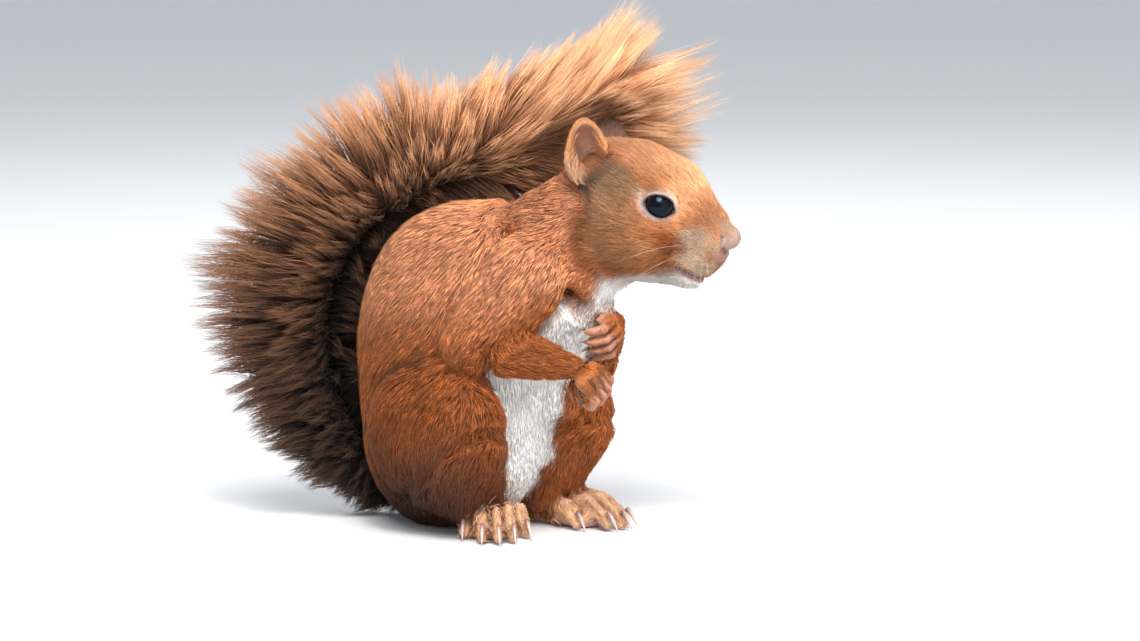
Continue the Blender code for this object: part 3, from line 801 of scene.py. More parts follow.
# Marks on the face in the head's directions: middle, radii, colour and strength, the same both sides.
FACE_MARKS = (
    ((20, 0, 13), (26, 12, 9), GINGER, 0.95),
    ((31, 0, 5), (13, 7.5, 6), (0.45, 0.200, 0.095), 1.0),
    # The crown: paler, partly the coat's own colour and partly a painted highlight on the top of the head.
    ((4, 0, 14), (14, 11, 8), PEACH, 0.85),
    ((-2, 14, 2), (8, 6, 7), OLIVE, 0.5),
    ((5, 14, 6), (8, 7, 6), (0.33, 0.205, 0.12), 0.8),
    ((10, 13, -4), (9, 7, 6), OLIVE, 0.45),
    ((12, 13, -12), (9, 8, 5), AMBER, 0.7),
    # Behind and under the cheek: partly the coat's own darker brown, partly painted shade.
    ((-1, 15, -12), (5.5, 8, 12), (0.25, 0.080, 0.028), 0.85),
    ((24, 9, 5), (6, 6, 6), GINGER, 0.7),
    ((32, 6, -3.5), (6.5, 6, 5), GREY_TAN, 0.95),
    ((34, 5, -9), (6.5, 6, 3.6), CREAM, 0.9),
    ((38, 0, 2), (4, 5, 4), GREY_TAN, 0.7),
    ((38.5, 3.5, -2.5), (3.5, 4, 5), GREY_TAN, 0.85),
    ((25, 9, -6.0), (5.5, 6, 3.2), RUST, 0.8),
    ((20, 11, -8.5), (5, 6, 3.0), AMBER, 0.8),
    ((-6.7, 13.5, 3.8), (3, 5, 4.5), CREAM, 0.6),
    # Under the ear's opening: painted shade in the crevice.
    ((-1.6, 13.5, 2.4), (2.2, 5, 5.0), (0.10, 0.042, 0.032), 0.85),
    ((32, 0, -16.5), (10, 9, 4.2), (0.74, 0.70, 0.64), 1.0),
    ((22, 0, -19.5), (12, 9, 4.5), WHITE, 0.9),
    ((10, 0, -24), (14, 10, 6), WHITE, 1.0),
)

BODY_TURN = math.radians(-38)  # which way the chest and belly face, from X
BODY_FRONT = np.array([math.cos(BODY_TURN), math.sin(BODY_TURN), 0.0])
BODY_LEFT = np.array([-BODY_FRONT[1], BODY_FRONT[0], 0.0])


def body_line(height):
    """The body's middle line from the hips up to the shoulders, at a height."""
    share = np.clip((height - 30) / 49, -0.4, 1.3)[:, None]
    return np.array([-3.6, 6.1, 0.0]) * (1 - share) + np.array([20.4, -4.9, 0.0]) * share


def bib(points):
    """How white the front of the body is: 1 down the chest and belly, fading at the edges."""
    away = points - body_line(points[:, 2])
    left, front = away @ BODY_LEFT, away @ BODY_FRONT
    wavy = mottle(points, 6) * 1.6 + mottle(points, 2.5) * 0.8
    half_width = 19.0 - 6.0 * ramp(50, 80, points[:, 2])
    white = (1 - ramp(half_width - 2.5, half_width + 1.5, np.abs(left) + wavy)) * ramp(6, 12, front + wavy)
    across, height = points[:, 0] + 0.5 * wavy, points[:, 2]
    inner_edge = np.interp(height, (13, 30, 42, 50), (12.0, 11.5, 5.0, -40.0))
    outer_edge = np.interp(height, (13, 20, 25, 31, 48, 54), (20.0, 23.5, 26.0, 28.5, 29.0, 60.0))
    white *= ramp(-1.5, 1.0, across - inner_edge) * ramp(-1.5, 1.0, outer_edge - across)
    return white * ramp(9, 14, height)


def body_colour(hide):
    """Russet, with a painted highlight over the top of the back, and painted shade on the near leg and low
    down behind.
    """
    points, height = hide.points, hide.points[:, 2]
    colour = np.tile(np.array(RUSSET), (len(points), 1))
    trunk = hide.kind("trunk", "neck", "upper_arm")
    # Painted highlight: the back is made paler high up, where it faces upwards.
    back = trunk * ramp(56, 84, height) * ramp(-0.2, 0.5, hide.normals[:, 2] + 0.25)
    colour = mix(colour, PEACH, back * 0.95)
    colour = mix(colour, RUST, hide.kind("neck") * 0.25)
    legs = hide.kind("thigh", "shank")
    # Painted shade: the near leg is darker low down, the rump darker behind, and the trunk and near leg
    # darker towards the floor.
    nearer = 1 - ramp(0, 8, (points - body_line(height)) @ BODY_LEFT)
    colour = mix(colour, RUST, legs * (0.5 + 0.5 * (1 - ramp(24, 48, height))) * (0.3 + 0.7 * nearer))
    colour = mix(colour, UMBER, legs * nearer * (1 - ramp(0, 36, height)) * 0.8)
    rear_shade = hide.kind("trunk", "thigh") * (1 - ramp(-36, -14, points[:, 0])) * (1 - ramp(30, 70, height))
    colour = mix(colour, RUST, rear_shade * 0.6)
    low = np.clip(legs * nearer + hide.kind("trunk"), 0, 1) * (1 - ramp(4, 48, height))
    colour *= (1 - 0.93 * low * (1 - 0.55 * ramp(-24, 10, points[:, 0])))[:, None]
    colour *= (1 - 0.18 * hide.kind("thigh", "forearm") * nearer)[:, None]
    return mix(colour, RUST, hide.kind("forearm") * 0.35)


def with_digits(colour, hide):
    """Hands and feet, with painted highlights on the knuckles and painted shade in the gaps between their
    digits.
    """
    points = hide.points
    colour = mix(colour, PAW, hide.kind("hand") * 0.92)
    colour = mix(colour, FOOT_TAN, hide.kind("foot") * 0.95)
    for side in SIDES:
        for number in range(5):
            # Painted highlight on the top of each toe's knuckle.
            knuckle = np.linalg.norm((points - toe_path(side, number)[1]) * [1, 1, 0.4], axis=1)
            colour = mix(colour, KNUCKLE_HIGHLIGHT, (1 - ramp(0.6, 2.0, knuckle)) * 0.6)
        for kind, part in (("toe", "foot"), ("finger", "hand")):
            # Painted shade in the gaps between neighbouring digits.
            gap = digit_gap(points, kind, side, 0.6) * hide.kind(part)
            colour = mix(colour, GAP_SHADE, gap * 0.85)
    return colour


def with_white(colour, hide):
    """The white of the belly, the chest and the throat."""
    points = hide.points
    forward, left, above = in_head(points).T
    left_of_line = (points - body_line(points[:, 2])) @ BODY_LEFT
    far_leg = hide.kind("thigh", "shank") * (1 - ramp(6.5, 9.0, left_of_line + mottle(points, 3)))
    colour = mix(colour, WHITE, bib(points) * np.clip(hide.kind("trunk") + far_leg, 0, 1))
    throat = hide.kind("neck") * ramp(3, 7, forward + mottle(points, 4)) * (1 - ramp(-20, -14, above))
    return mix(colour, WHITE, throat * (1 - ramp(7, 12, np.abs(left))))


def with_face(colour, hide):
    """The marks of the face, the pale ring round each eye, and the ears."""
    points, normals = hide.points, hide.normals
    forward, left, above = in_head(points).T
    face = hide.kind("head", "nose")
    colour = mix(colour, AMBER, face * 0.4)
    half = np.stack([forward, np.abs(left), above], axis=1)
    grain = 0.12 * mottle(points, 3)
    for centre, radii, tint, strength in FACE_MARKS:
        away = np.linalg.norm((half - centre) / np.array(radii), axis=1) + grain
        colour = mix(colour, tint, face * strength * (1 - ramp(0.55, 1.25, away)))
    over_eye = ramp(2, 6, above)
    ring = (1 - ramp(1.1, 2.4, hide.past_lids - 0.4 * over_eye + 0.5 * mottle(points, 2))) * face
    pale = mix((0.52, 0.36, 0.28), (0.66, 0.49, 0.41), over_eye)
    colour = mix(colour, pale, ring * (0.55 + 0.35 * over_eye))
    colour = mix(colour, AMBER, hide.kind("ear") * 0.8)
    colour = mix(colour, GREY_TAN, hide.kind("ear") * (1 - ramp(5, 9, above)) * 0.4)
    far_ear = hide.node("ear_left") * ramp(-0.2, 0.5, -normals[:, 1])
    return mix(colour, FAR_EAR, hide.net.smoothed(far_ear[:, None] * 1.0, 4)[:, 0] * 0.8)


def markings(hide):
    """The coat's colour at each vertex of the skin."""
    points = hide.points
    colour = with_face(with_white(with_digits(body_colour(hide), hide), hide), hide)
    # Painted shade in the creases where the arms and legs meet the trunk and neck, kept off the white.
    limb = hide.kind("thigh", "shank", "forearm") + 0.4 * hide.kind("upper_arm")
    crease_shade = np.clip(4 * limb * hide.kind("trunk", "neck"), 0, 1) ** 2
    colour = colour * (1 - 0.5 * crease_shade * (1 - bib(points)))[:, None]
    colour *= (1 + 0.10 * mottle(points, 9) + 0.06 * mottle(points, 3))[:, None]
    return colour


def bareness(hide):
    """Where no hair grows: the nose, the lids' edges, the ears' insides, and the pads."""
    points, normals = hide.points, hide.normals
    forward, _, above = in_head(points).T
    tip = ramp(39.0, 41.2, forward - 0.25 * above + 0.5 * mottle(points, 1.5)) * ramp(-6.5, -5.4, above)
    bare = tip * hide.kind("head", "nose")
    bare = np.maximum(bare, (1 - ramp(0.4, 0.8, hide.past_lids)) * hide.kind("head"))
    for side in SIDES:
        opening = unit(EAR_OPENING[side])
        inside = hide.node(f"ear_{side}") * ramp(0.25, 0.6, normals @ opening) * ramp(6, 8, above)
        up, across = ear_place(points, side)
        inside = inside * (1 - ramp(3.7, 4.8, np.abs(across))) * (1 - ramp(18.0, 20.0, up))
        bare = np.maximum(bare, inside)
        hand, axes = hide.node(f"hand_{side}"), hand_axes(side)
        past_knuckle = ramp(6.5, 8.5, (points - WRIST[side]) @ axes[0] + 0.6 * mottle(points, 2))
        bare = np.maximum(bare, hand * ramp(-0.35, 0.15, -(normals @ axes[2])))
        bare = np.maximum(bare, hand * past_knuckle * 0.85)
    soles = hide.kind("foot") * ramp(0.25, 0.7, -normals[:, 2])
    from_mouth = line_distance(np.stack([forward, above], axis=1) + [0, 0.5], MOUTH)
    lips = hide.kind("head") * (1 - ramp(1.0, 1.5, from_mouth)) * ramp(26, 29, forward)
    return np.clip(np.maximum.reduce([bare, soles, lips]), 0, 1)


def hide_colours(hide, coat, bare):
    """The skin's colour: dusky under the coat, pink or brown where it is bare, with painted shade in the
    ears' hollows, the gaps between digits and the nostrils, and a painted reflection on the lower lids'
    edges.
    """
    under = coat * (0.6 + 0.35 * ramp(0.45, 0.75, coat[:, 1]))[:, None]
    tone = np.tile(np.array(PINK), (len(coat), 1))
    forward, left, above = in_head(hide.points).T
    half = np.stack([forward, np.abs(left), above], axis=1)
    # The inside of the ear: brown, with painted shade making it near-black towards the bottom of the hollow.
    depth = 1 - ramp(7, 14, above)
    tone = mix(tone, mix((0.24, 0.100, 0.060), (0.050, 0.022, 0.017), depth), hide.kind("ear"))
    tone = mix(tone, (0.36, 0.145, 0.075), hide.kind("hand") * 0.85)
    # Painted shade on the skin in the gaps between digits.
    for side in SIDES:
        gap = digit_gap(hide.points, "toe", side, 0.9) + digit_gap(hide.points, "finger", side, 0.5)
        tone = mix(tone, (0.10, 0.040, 0.028), np.clip(gap, 0, 1) * hide.kind("foot", "hand") * 0.85)
    bald_tip = hide.kind("head", "nose") * ramp(34, 37, forward)
    tone = mix(tone, mix((0.26, 0.105, 0.092), (0.33, 0.200, 0.165), ramp(-4.0, -0.5, above)), bald_tip)
    # The lids' edges: dark above, and a paler grey-mauve below that is partly a painted reflection of the
    # wet lower edge.
    rim = mix((0.22, 0.18, 0.20), (0.09, 0.050, 0.042), ramp(3.6, 5.0, above))
    tone = mix(tone, rim, (1 - ramp(0.5, 0.9, hide.past_lids)) * hide.kind("head"))
    tone = mix(tone, INK, (1 - ramp(0.1, 0.45, hide.past_lids)) * hide.kind("head"))
    lips = line_distance(half[:, [0, 2]], MOUTH)
    tone = mix(tone, (0.20, 0.110, 0.115), (1 - ramp(1.2, 2.2, lips)) * hide.kind("head"))
    tone = mix(tone, (0.12, 0.05, 0.045), (1 - ramp(0.2, 0.5, lips)) * hide.kind("head"))
    # Painted shade in the nostrils.
    dark = (1 - ramp(0.35, 1.0, nostril_distance(half))) * hide.kind("head", "nose")
    tone = mix(tone, (0.10, 0.035, 0.03), dark)
    return mix(under, tone, bare)


# ---------------------------------------------------------------- the lie of the coat

# Which way the hair lies on each part, before it is laid into the skin.
ARM_LIE = {"upper_arm_right": (-0.58, -0.25, -0.78), "upper_arm_left": (0.15, 0.1, -0.98),
           "forearm_right": (0.97, -0.18, -0.18), "forearm_left": (0.2, -0.8, 0.5),
           "hand_right": (0.80, -0.05, -0.60), "hand_left": (-0.15, -0.85, -0.50)}
BACK_CENTRE = np.array([23.0, 0.0, 2.0])  # the hair of the back runs round this point, seen from the side


def coat_lie(hide):
    """A unit direction in the skin at each vertex."""
    points, normals = hide.points, hide.normals
    away = points - BACK_CENTRE
    lie = unit(np.stack([-away[:, 2], 0 * away[:, 2], away[:, 0]], axis=1))
    front = ramp(0.0, 0.5, normals @ BODY_FRONT)
    lie = mix(lie, (0.0, 0.0, -1.0), front)
    forward, _, above = in_head(points).T
    backward = -np.tile(HEAD[:, 0], (len(points), 1))
    cheek = ramp(0, 10, -above) * ramp(30, 10, forward)
    face = mix(backward, -HEAD[:, 2], cheek * 0.35)
    head, neck = of_kinds(hide.hard, "head", "nose") > 0.5, of_kinds(hide.hard, "neck") > 0.5
    lie[head] = face[head]
    lie[neck] = unit(mix(lie, unit(backward + [-0.2, 0, -0.5]), 0.6))[neck]
    legs = of_kinds(hide.hard, "thigh", "shank") > 0.5
    down = mix(lie, (-0.12, 0.0, -1.0), 0.55 + 0.45 * (1 - ramp(10, 35, points[:, 2])))
    lie[legs] = down[legs]
    for node, direction in ARM_LIE.items():
        lie[hide.node(node)] = direction
    for side, (_, aim) in TOE_START.items():
        lie[hide.node(f"foot_{side}")] = heading(aim) - [0, 0, 0.15]
        lie[hide.node(f"ear_{side}")] = EAR_RISE[side]
    lie = flattened(lie, normals)
    for _ in range(25):
        lie = flattened(hide.net.average(lie) + 0.2 * lie, normals)
    return lie


# ---------------------------------------------------------------- tufts

ROOT_SINK = 0.3  # how deep a tuft's root is set in the skin
PATCH = 0.003  # how wide a tuft's patch is on the skin's map
PIECE_TRIANGLES = 190_000  # the most in one piece of the coat
TUFT_GAP, TAIL_GAP = 0.05, 0.1  # how far over the floor the lowest tufts and tail hairs lie


def spike_pieces(name, spine, across, up, width, profile, colours, flat, finish):
    """Three-sided spikes, open at the buried root, as one or more pieces.

    spine is N x K x 3 and ends at the tips. profile is the width at each ring but the tip, and
    colours has one colour for each of the K.
    """
    count, rings = spine.shape[:2]
    each = 6 * (rings - 2) + 3
    most = PIECE_TRIANGLES // each
    made = []
    for number, start in enumerate(range(0, count, most)):
        rows = slice(start, start + most)
        made.append(spike_mesh(f"{name}_{number + 1}", spine[rows], across[rows], up[rows], width[rows],
                               profile, colours[rows], flat[rows], finish))
    return made


def spike_mesh(name, spine, across, up, width, profile, colours, flat, finish):
    """One piece of the coat, with each spike's patch at its root's place on the skin's map."""
    count, rings = spine.shape[:2]
    span = width[:, None, None] * np.asarray(profile)[None, :, None]
    base = spine[:, :-1]
    corners = [base - across * span / 2, base + across * span / 2, base + up * span * 0.55]
    vertices = np.concatenate([np.stack(corners, axis=2).reshape(count, -1, 3), spine[:, -1:]], axis=1)
    triangles = []
    for ring in range(rings - 1):
        here, there = 3 * ring, 3 * ring + 3
        for first, second in ((0, 1), (1, 2), (2, 0)):
            if ring < rings - 2:
                triangles.append((here + first, here + second, there + second))
                triangles.append((here + first, there + second, there + first))
            else:
                triangles.append((here + first, here + second, there))
    per = 3 * (rings - 1) + 1
    index = (np.array(triangles)[None] + np.arange(count)[:, None, None] * per).reshape(-1, 3)
    made = mesh_object(name, vertices.reshape(-1, 3), index)
    shade = np.concatenate([np.repeat(colours[:, :-1], 3, axis=1), colours[:, -1:]], axis=1)
    paint(made, shade.reshape(-1, 3))
    sideways = np.append(np.tile([-0.5, 0.5, 0.0], rings - 1), 0.0)
    onward = np.append(np.repeat(np.linspace(-0.5, 0.3, rings - 1), 3), 0.5)
    spread = np.stack([sideways, onward], axis=1) * PATCH
    chart = (flat[:, None] + spread[None]).reshape(-1, 2)
    layer = made.data.uv_layers.new(name="OFBake")
    layer.data.foreach_set("uv", chart[index.ravel()].astype(np.float32).ravel())
    made.data.materials.append(finish)
    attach(made, "root")
    return made


def turned(lie, normals, spread):
    """The lie of each tuft, turned a little to either side in the skin."""
    angle = rng.normal(0, spread, len(lie))[:, None]
    return lie * np.cos(angle) + np.cross(normals, lie) * np.sin(angle)


def gathered(tips, roots, share, group):
    """Draws each tip towards its lock's: every group-th tuft leads one, and those near it follow."""
    leaders = np.arange(0, len(tips), group)
    tree = KDTree(len(leaders))
    for number, spot in enumerate(roots[leaders].tolist()):
        tree.insert(spot, number)
    tree.balance()
    nearest = np.array([tree.find(spot)[1] for spot in roots.tolist()])
    leader = leaders[nearest]
    offset = roots - roots[leader]
    goal = tips[leader] + offset * 0.25
    return tips + (goal - tips) * share, leader


def tuft_colours(colour, rings, root_shade, tip_shade, leader=None, vary=0.10, pepper=0.08):
    """Dark at the root and light at the tip, each tuft and each lock a little different."""
    count = len(colour)
    along = np.linspace(0, 1, rings)[None, :, None]
    light = ramp(0.45, 0.75, colour[:, 1])[:, None, None]
    root_shade = root_shade + (0.97 - root_shade) * light
    shade = root_shade + (tip_shade - root_shade) * along**0.8
    own = rng.normal(1.0, vary, (count, 1, 1))
    if leader is not None:
        own = own * rng.normal(1.0, vary, (count, 1, 1))[leader]
    odd = rng.random((count, 1, 1))
    own = own * np.where(odd < pepper, 0.62, np.where(odd > 1 - pepper, 1.35, 1.0))
    own = 1 + (own - 1) * (1 - 0.75 * light)
    redder = np.array([1.0, 0.93, 0.86]) ** (1.2 * (1 - along) * (1 - light))
    return np.clip(colour[:, None] * shade * redder * own, 0.004, 0.95)


def lay_tufts(name, hide, density, size, finish, coat, lie, rings=3, spread=0.16, gather=0.35, group=7,
              pepper=0.08):
    """Tufts over the skin. size holds length, width and height at each vertex."""
    roots = hide.scatter(density)
    length, width, height = (roots.at(column) for column in size.T)
    length = length * rng.uniform(0.75, 1.15, len(roots))
    height = height * rng.uniform(0.65, 1.15, len(roots))
    width = width * rng.uniform(0.7, 1.2, len(roots))
    normals = roots.normals
    direction = turned(flattened(roots.at(lie), normals), normals, spread)
    start = roots.points - normals * ROOT_SINK
    half = length[:, None] * 0.5
    if rings == 3:
        bend, bend_normals = hide.settle(roots.points + direction * half, height * 0.62)
        onward = flattened(direction, bend_normals)
        tip, _ = hide.settle(bend + onward * half, height)
    else:
        tip, _ = hide.settle(roots.points + direction * length[:, None], height)
    tip, leader = gathered(tip, roots.points, gather, group)
    if rings == 3:
        bend = bend + (tip - bend - onward * half) * 0.25
        spine = np.stack([start, bend, tip], axis=1)
        profile = (0.9, 0.85)
    else:
        spine = np.stack([start, tip], axis=1)
        profile = (1.0,)
    spine = lifted(spine, TUFT_GAP)
    along = unit(spine[:, -1] - spine[:, 0])
    across = unit(np.cross(along, normals))
    colours = tuft_colours(roots.at(coat), spine.shape[1], 0.66, 1.14, leader, pepper=pepper)
    return spike_pieces(name, spine, across[:, None], np.cross(across, along)[:, None], width, profile,
                        colours, roots.flat, finish)


# Length, width, height over the skin, and number to a square millimetre, of each part's tufts.
LONG_TUFTS = {
    "trunk": (9.0, 0.43, 2.5, 2.48), "neck": (6.8, 0.36, 1.8, 3.05), "upper_arm": (8.0, 0.41, 2.1, 2.7),
    "thigh": (9.0, 0.43, 2.3, 2.48), "shank": (7.0, 0.39, 1.9, 2.75), "forearm": (6.4, 0.34, 1.7, 3.4),
}
SHORT_TUFTS = {
    "head": (4.8, 0.34, 1.65, 8.2), "ear": (2.8, 0.24, 0.9, 7.0), "hand": (2.6, 0.30, 0.6, 7.0),
    "foot": (2.6, 0.30, 0.55, 7.4), "nose": (0.9, 0.2, 0.3, 5.0),
}


def tuft_sizes(hide, table):
    """Length, width and height at each vertex, and the density, from a table of kinds of part."""
    rows = np.array([table.get(kind, (0, 0, 0, 0)) for kind in KINDS], float)
    listed = (rows[:, 0] > 0).astype(float)
    share = hide.wide * listed
    total = share.sum(axis=1, keepdims=True)
    size = share @ rows[:, :3] / np.maximum(total, 1e-6)
    return size, hide.kinds @ (listed * rows[:, 3])


def cover_body(hide, coat, lie, bare, finish):
    """Long tufts on body and limbs, then short ones on head, ears, hands and feet."""
    size, density = tuft_sizes(hide, LONG_TUFTS)
    sleek = 0.5 * bib(hide.points) + 0.4 * ramp(0.1, 0.6, of_kinds(hide.wide, "head"))
    sleek = np.minimum(sleek, 0.6)
    size = size * (1 - sleek)[:, None] ** np.array([1.0, 0.2, 1.5])
    lay_tufts("coat_body", hide, density * (1 - bare), size, finish, coat, lie)
    size, density = tuft_sizes(hide, SHORT_TUFTS)
    forward, _, above = in_head(hide.points).T
    head = hide.kind("head", "nose")
    muzzle = head * ramp(20, 36, forward)
    small = np.clip(1 - 0.62 * muzzle - 0.6 * (1 - ramp(0.5, 5, hide.past_lids)), 0.25, 1)
    cheek = 1 + 0.45 * head * ramp(0, 12, -above) * (1 - ramp(6, 20, forward))
    cheek = cheek + 0.8 * ramp(0.1, 0.5, of_kinds(hide.wide, "neck")) * head
    size = size * (small * cheek)[:, None] ** np.array([1.0, 0.45, 1.0])
    density = density * (1 - bare) * np.minimum(1 / small, 1.6)
    for side in SIDES:
        for kind, part in (("toe", "foot"), ("finger", "hand")):
            density = density * (1 - 0.9 * digit_gap(hide.points, kind, side, 0.7) * hide.kind(part))
    lay_tufts("coat_fine", hide, density, size, finish, coat, lie, rings=2, spread=0.24, gather=0.3, group=6,
              pepper=0.17)


# ---------------------------------------------------------------- the tail's hair

FAN_START, FAN_FULL = 0.76, 0.90  # shares of the tail's line between which its hair turns into the end's fan
FAN_RADIUS = 31.0
CLUMP, SPIKE = 260, 14  # how many hairs go to a clump, and to a spike within it

# The colour of a hair at its root, middle and tip, at shares of the tail's line. The near-black roots and
# the dark rows low down are partly the hair's own colour and partly painted shade deep in the tail.
TAIL_TINTS = (
    (0.10, (0.010, 0.008, 0.007), (0.014, 0.010, 0.008), (0.085, 0.052, 0.042)),
    (0.30, (0.010, 0.008, 0.007), (0.030, 0.016, 0.011), (0.34, 0.160, 0.090)),
    (0.50, (0.012, 0.008, 0.006), (0.085, 0.036, 0.018), (0.70, 0.33, 0.160)),
    (0.65, (0.026, 0.012, 0.007), (0.230, 0.095, 0.043), (0.84, 0.41, 0.200)),
    (0.80, (0.110, 0.046, 0.022), (0.520, 0.240, 0.115), (0.88, 0.48, 0.260)),
    (1.00, (0.300, 0.140, 0.070), (0.760, 0.400, 0.215), (0.92, 0.58, 0.360)),
)


def tail_tints(share, ring):
    """Tints of points at a share of the tail's line, with ring 0 at a hair's root and 1 at its tip."""
    shares = [row[0] for row in TAIL_TINTS]
    stops = np.array([row[1:] for row in TAIL_TINTS])
    root, half, tip = (
        np.stack([np.interp(share, shares, stops[:, stop, k]) for k in range(3)], axis=1)
        for stop in range(3)
    )
    along = np.interp(ring, (0.0, 0.62, 1.0), (0, 1, 2))
    return mix(mix(root, half, np.clip(along, 0, 1)), tip, np.clip(along - 1, 0, 1))


def hair_path(start, first, tip, rings):
    """Points along a bend from start to tip that sets off towards first."""
    steps = np.linspace(0, 1, rings)[None, :, None]
    start, first, tip = start[:, None], first[:, None], tip[:, None]
    return start * (1 - steps) ** 2 + 2 * first * steps * (1 - steps) + tip * steps**2


def behind_head(spine):
    """Hairs moved to the left of the head and the far ear, and lifted clear of the far eye."""
    place = (spine - SKULL) @ HEAD
    forward, above = place[..., 0], place[..., 2]
    near = (1 - ramp(15, 23, np.hypot(forward * 0.55 - 4, above - 2))) * ramp(0, 10, spine[..., 0])
    ear = 1 - ramp(9, 15, np.hypot(forward + 4, above - 18))
    wall = 31.0 * np.clip(1.6 * np.maximum(near, ear), 0, 1) - 22.0
    left = spine[..., 1]
    moved = spine.copy()
    moved[..., 1] = np.where(left < wall, wall + 0.12 * (left - wall), left)
    face = np.clip(1.6 * near, 0, 1) * ramp(-4, 8, forward)
    moved[..., 2] += np.clip(13 - above, 0, 40) * face * 0.9
    return moved


def tail_roots(hide):
    """Roots on the tail's core, more of them on its inner side and at its end."""
    index, _ = TAIL.nearest(hide.points)
    share = TAIL.share[index]
    crowd = 8.3 + 31.0 * ramp(0.76, 0.86, share)
    outward = ((hide.points - TAIL.points[index]) * TAIL.out[index]).sum(axis=1)
    crowd *= 1 + 0.2 * ramp(0, 1, outward) + 1.7 * ramp(0, 1, -outward) * (1 - ramp(0.8, 0.9, share))
    return hide.scatter(crowd * (hide.kind("tail") > 0.5))


def tail_tips(core, share, angle, fan):
    """Where each hair ends, and the hair that leads its spike.

    core is the place on the tail's line that a hair belongs to, share how far along it that is, angle
    the hair's own turn round it, 0 outwards, and fan how much it belongs to the end's fan.
    """
    count = len(core)
    lean = 0.02 + 0.10 * ramp(0.55, 0.9, share) + rng.normal(0, 0.018, count)
    goal = TAIL.at(share + lean)
    outer, inner, half_width = TAIL.reach[goal].T
    outer_reach = outer * (1.34 - 0.1 * ramp(0.3, 0.6, share))
    inner_reach = inner * (1.85 + 0.45 * ramp(0.5, 0.62, share))
    reach = np.where(np.cos(angle) > 0, outer_reach, inner_reach)
    long = rng.uniform(0.55, 1.0, count) ** 0.5
    flat = 0.5 * np.sin(angle) ** 2 * (np.cos(angle) > -0.6) * outer
    sweep = (np.cos(angle) * reach + flat)[:, None] * TAIL.out[goal]
    sweep += (np.sin(angle) * half_width * 0.9)[:, None] * TAIL.side[goal]
    tip = TAIL.points[goal] + sweep * long[:, None]
    tilt = np.arccos(1 - rng.random(count) * 1.35)
    radial = np.cos(angle)[:, None] * TAIL.out[-1] + np.sin(angle)[:, None] * TAIL.side[-1]
    burst = TAIL.points[-1] + (np.cos(tilt) * FAN_RADIUS)[:, None] * TAIL.ahead[-1]
    burst = burst + (np.sin(tilt) * FAN_RADIUS)[:, None] * radial
    tip = tip * (1 - fan) + (core + (burst - core) * (0.38 + 0.66 * long[:, None])) * fan
    tip, clump = gathered(tip, core + (tip - core) * 0.5, 0.30, CLUMP)
    tip, leader = gathered(tip, core + (tip - core) * 0.5, 0.60, SPIKE)
    spiky = rng.uniform(0.88, 1.05, count)[leader] * rng.uniform(0.88, 1.07, count)[clump]
    return core + (tip - core) * spiky[:, None], leader


def tail_colours(share, angle, leader):
    """Four colours along each hair, with painted shade inside the tail's curl and, more faintly, on its
    sides, and each hair a little different.
    """
    count = len(share)
    place = np.clip(share + 0.035 * rng.normal(size=count), 0, 1)
    # Painted shade: hairs on the tail's sides are shifted towards their darker roots.
    darker = 1 - 0.16 * (1 - np.abs(np.cos(angle))) * (1 - ramp(0.66, 0.84, share))
    colours = np.stack([tail_tints(place, ring * darker) for ring in np.linspace(0, 1, 4)], axis=1)
    # Painted shade on the inner side of the curl.
    inner_shade = ramp(0.1, -0.7, np.cos(angle)) * (1 - ramp(0.7, 0.85, share))
    colours = colours * (1 - 0.80 * inner_shade[:, None, None])
    own = rng.normal(1.0, 0.13, (count, 1, 1)) * rng.normal(1.0, 0.16, (count, 1, 1))[leader]
    dark = rng.random((count, 1, 1)) < 0.03
    return np.clip(colours * own * np.where(dark, 0.3, 1.0), 0.004, 0.95)


def dress_tail(hide, finish):
    """Long loose hair round the tail's core, in clumps that end in spikes."""
    roots = tail_roots(hide)
    count = len(roots)
    index, _ = TAIL.nearest(roots.points)
    share, core = TAIL.share[index], TAIL.points[index]
    offset = roots.points - core
    out, side = (offset * TAIL.out[index]).sum(axis=1), (offset * TAIL.side[index]).sum(axis=1)
    angle = np.arctan2(side, out) * 0.93 + rng.normal(0, 0.16, count)
    fan = ramp(FAN_START, FAN_FULL, share)[:, None]
    tip, leader = tail_tips(core, share, angle, fan)
    length = np.linalg.norm(tip - roots.points, axis=1)
    setting_off = unit(roots.normals * 1.0 + TAIL.ahead[index] * 0.75 + fan * TAIL.ahead[index])
    first = roots.points + setting_off * (length * 0.45)[:, None]
    spine = hair_path(roots.points - roots.normals * ROOT_SINK, first, tip, 4)
    spine[:, 1:3] += rng.normal(0, 0.35, (count, 2, 3))
    spine = lifted(behind_head(spine), TAIL_GAP)
    along = unit(spine[:, -1] - spine[:, 0])
    across = unit(np.cross(along, unit(rng.normal(size=(count, 3)))))
    colours = tail_colours(share, angle, leader)
    width = rng.uniform(0.20, 0.34, count)
    spike_pieces("coat_tail", spine, across[:, None], np.cross(across, along)[:, None], width,
                 (1.0, 1.0, 0.7), colours, roots.flat, finish)


# ---------------------------------------------------------------- eyes and claws


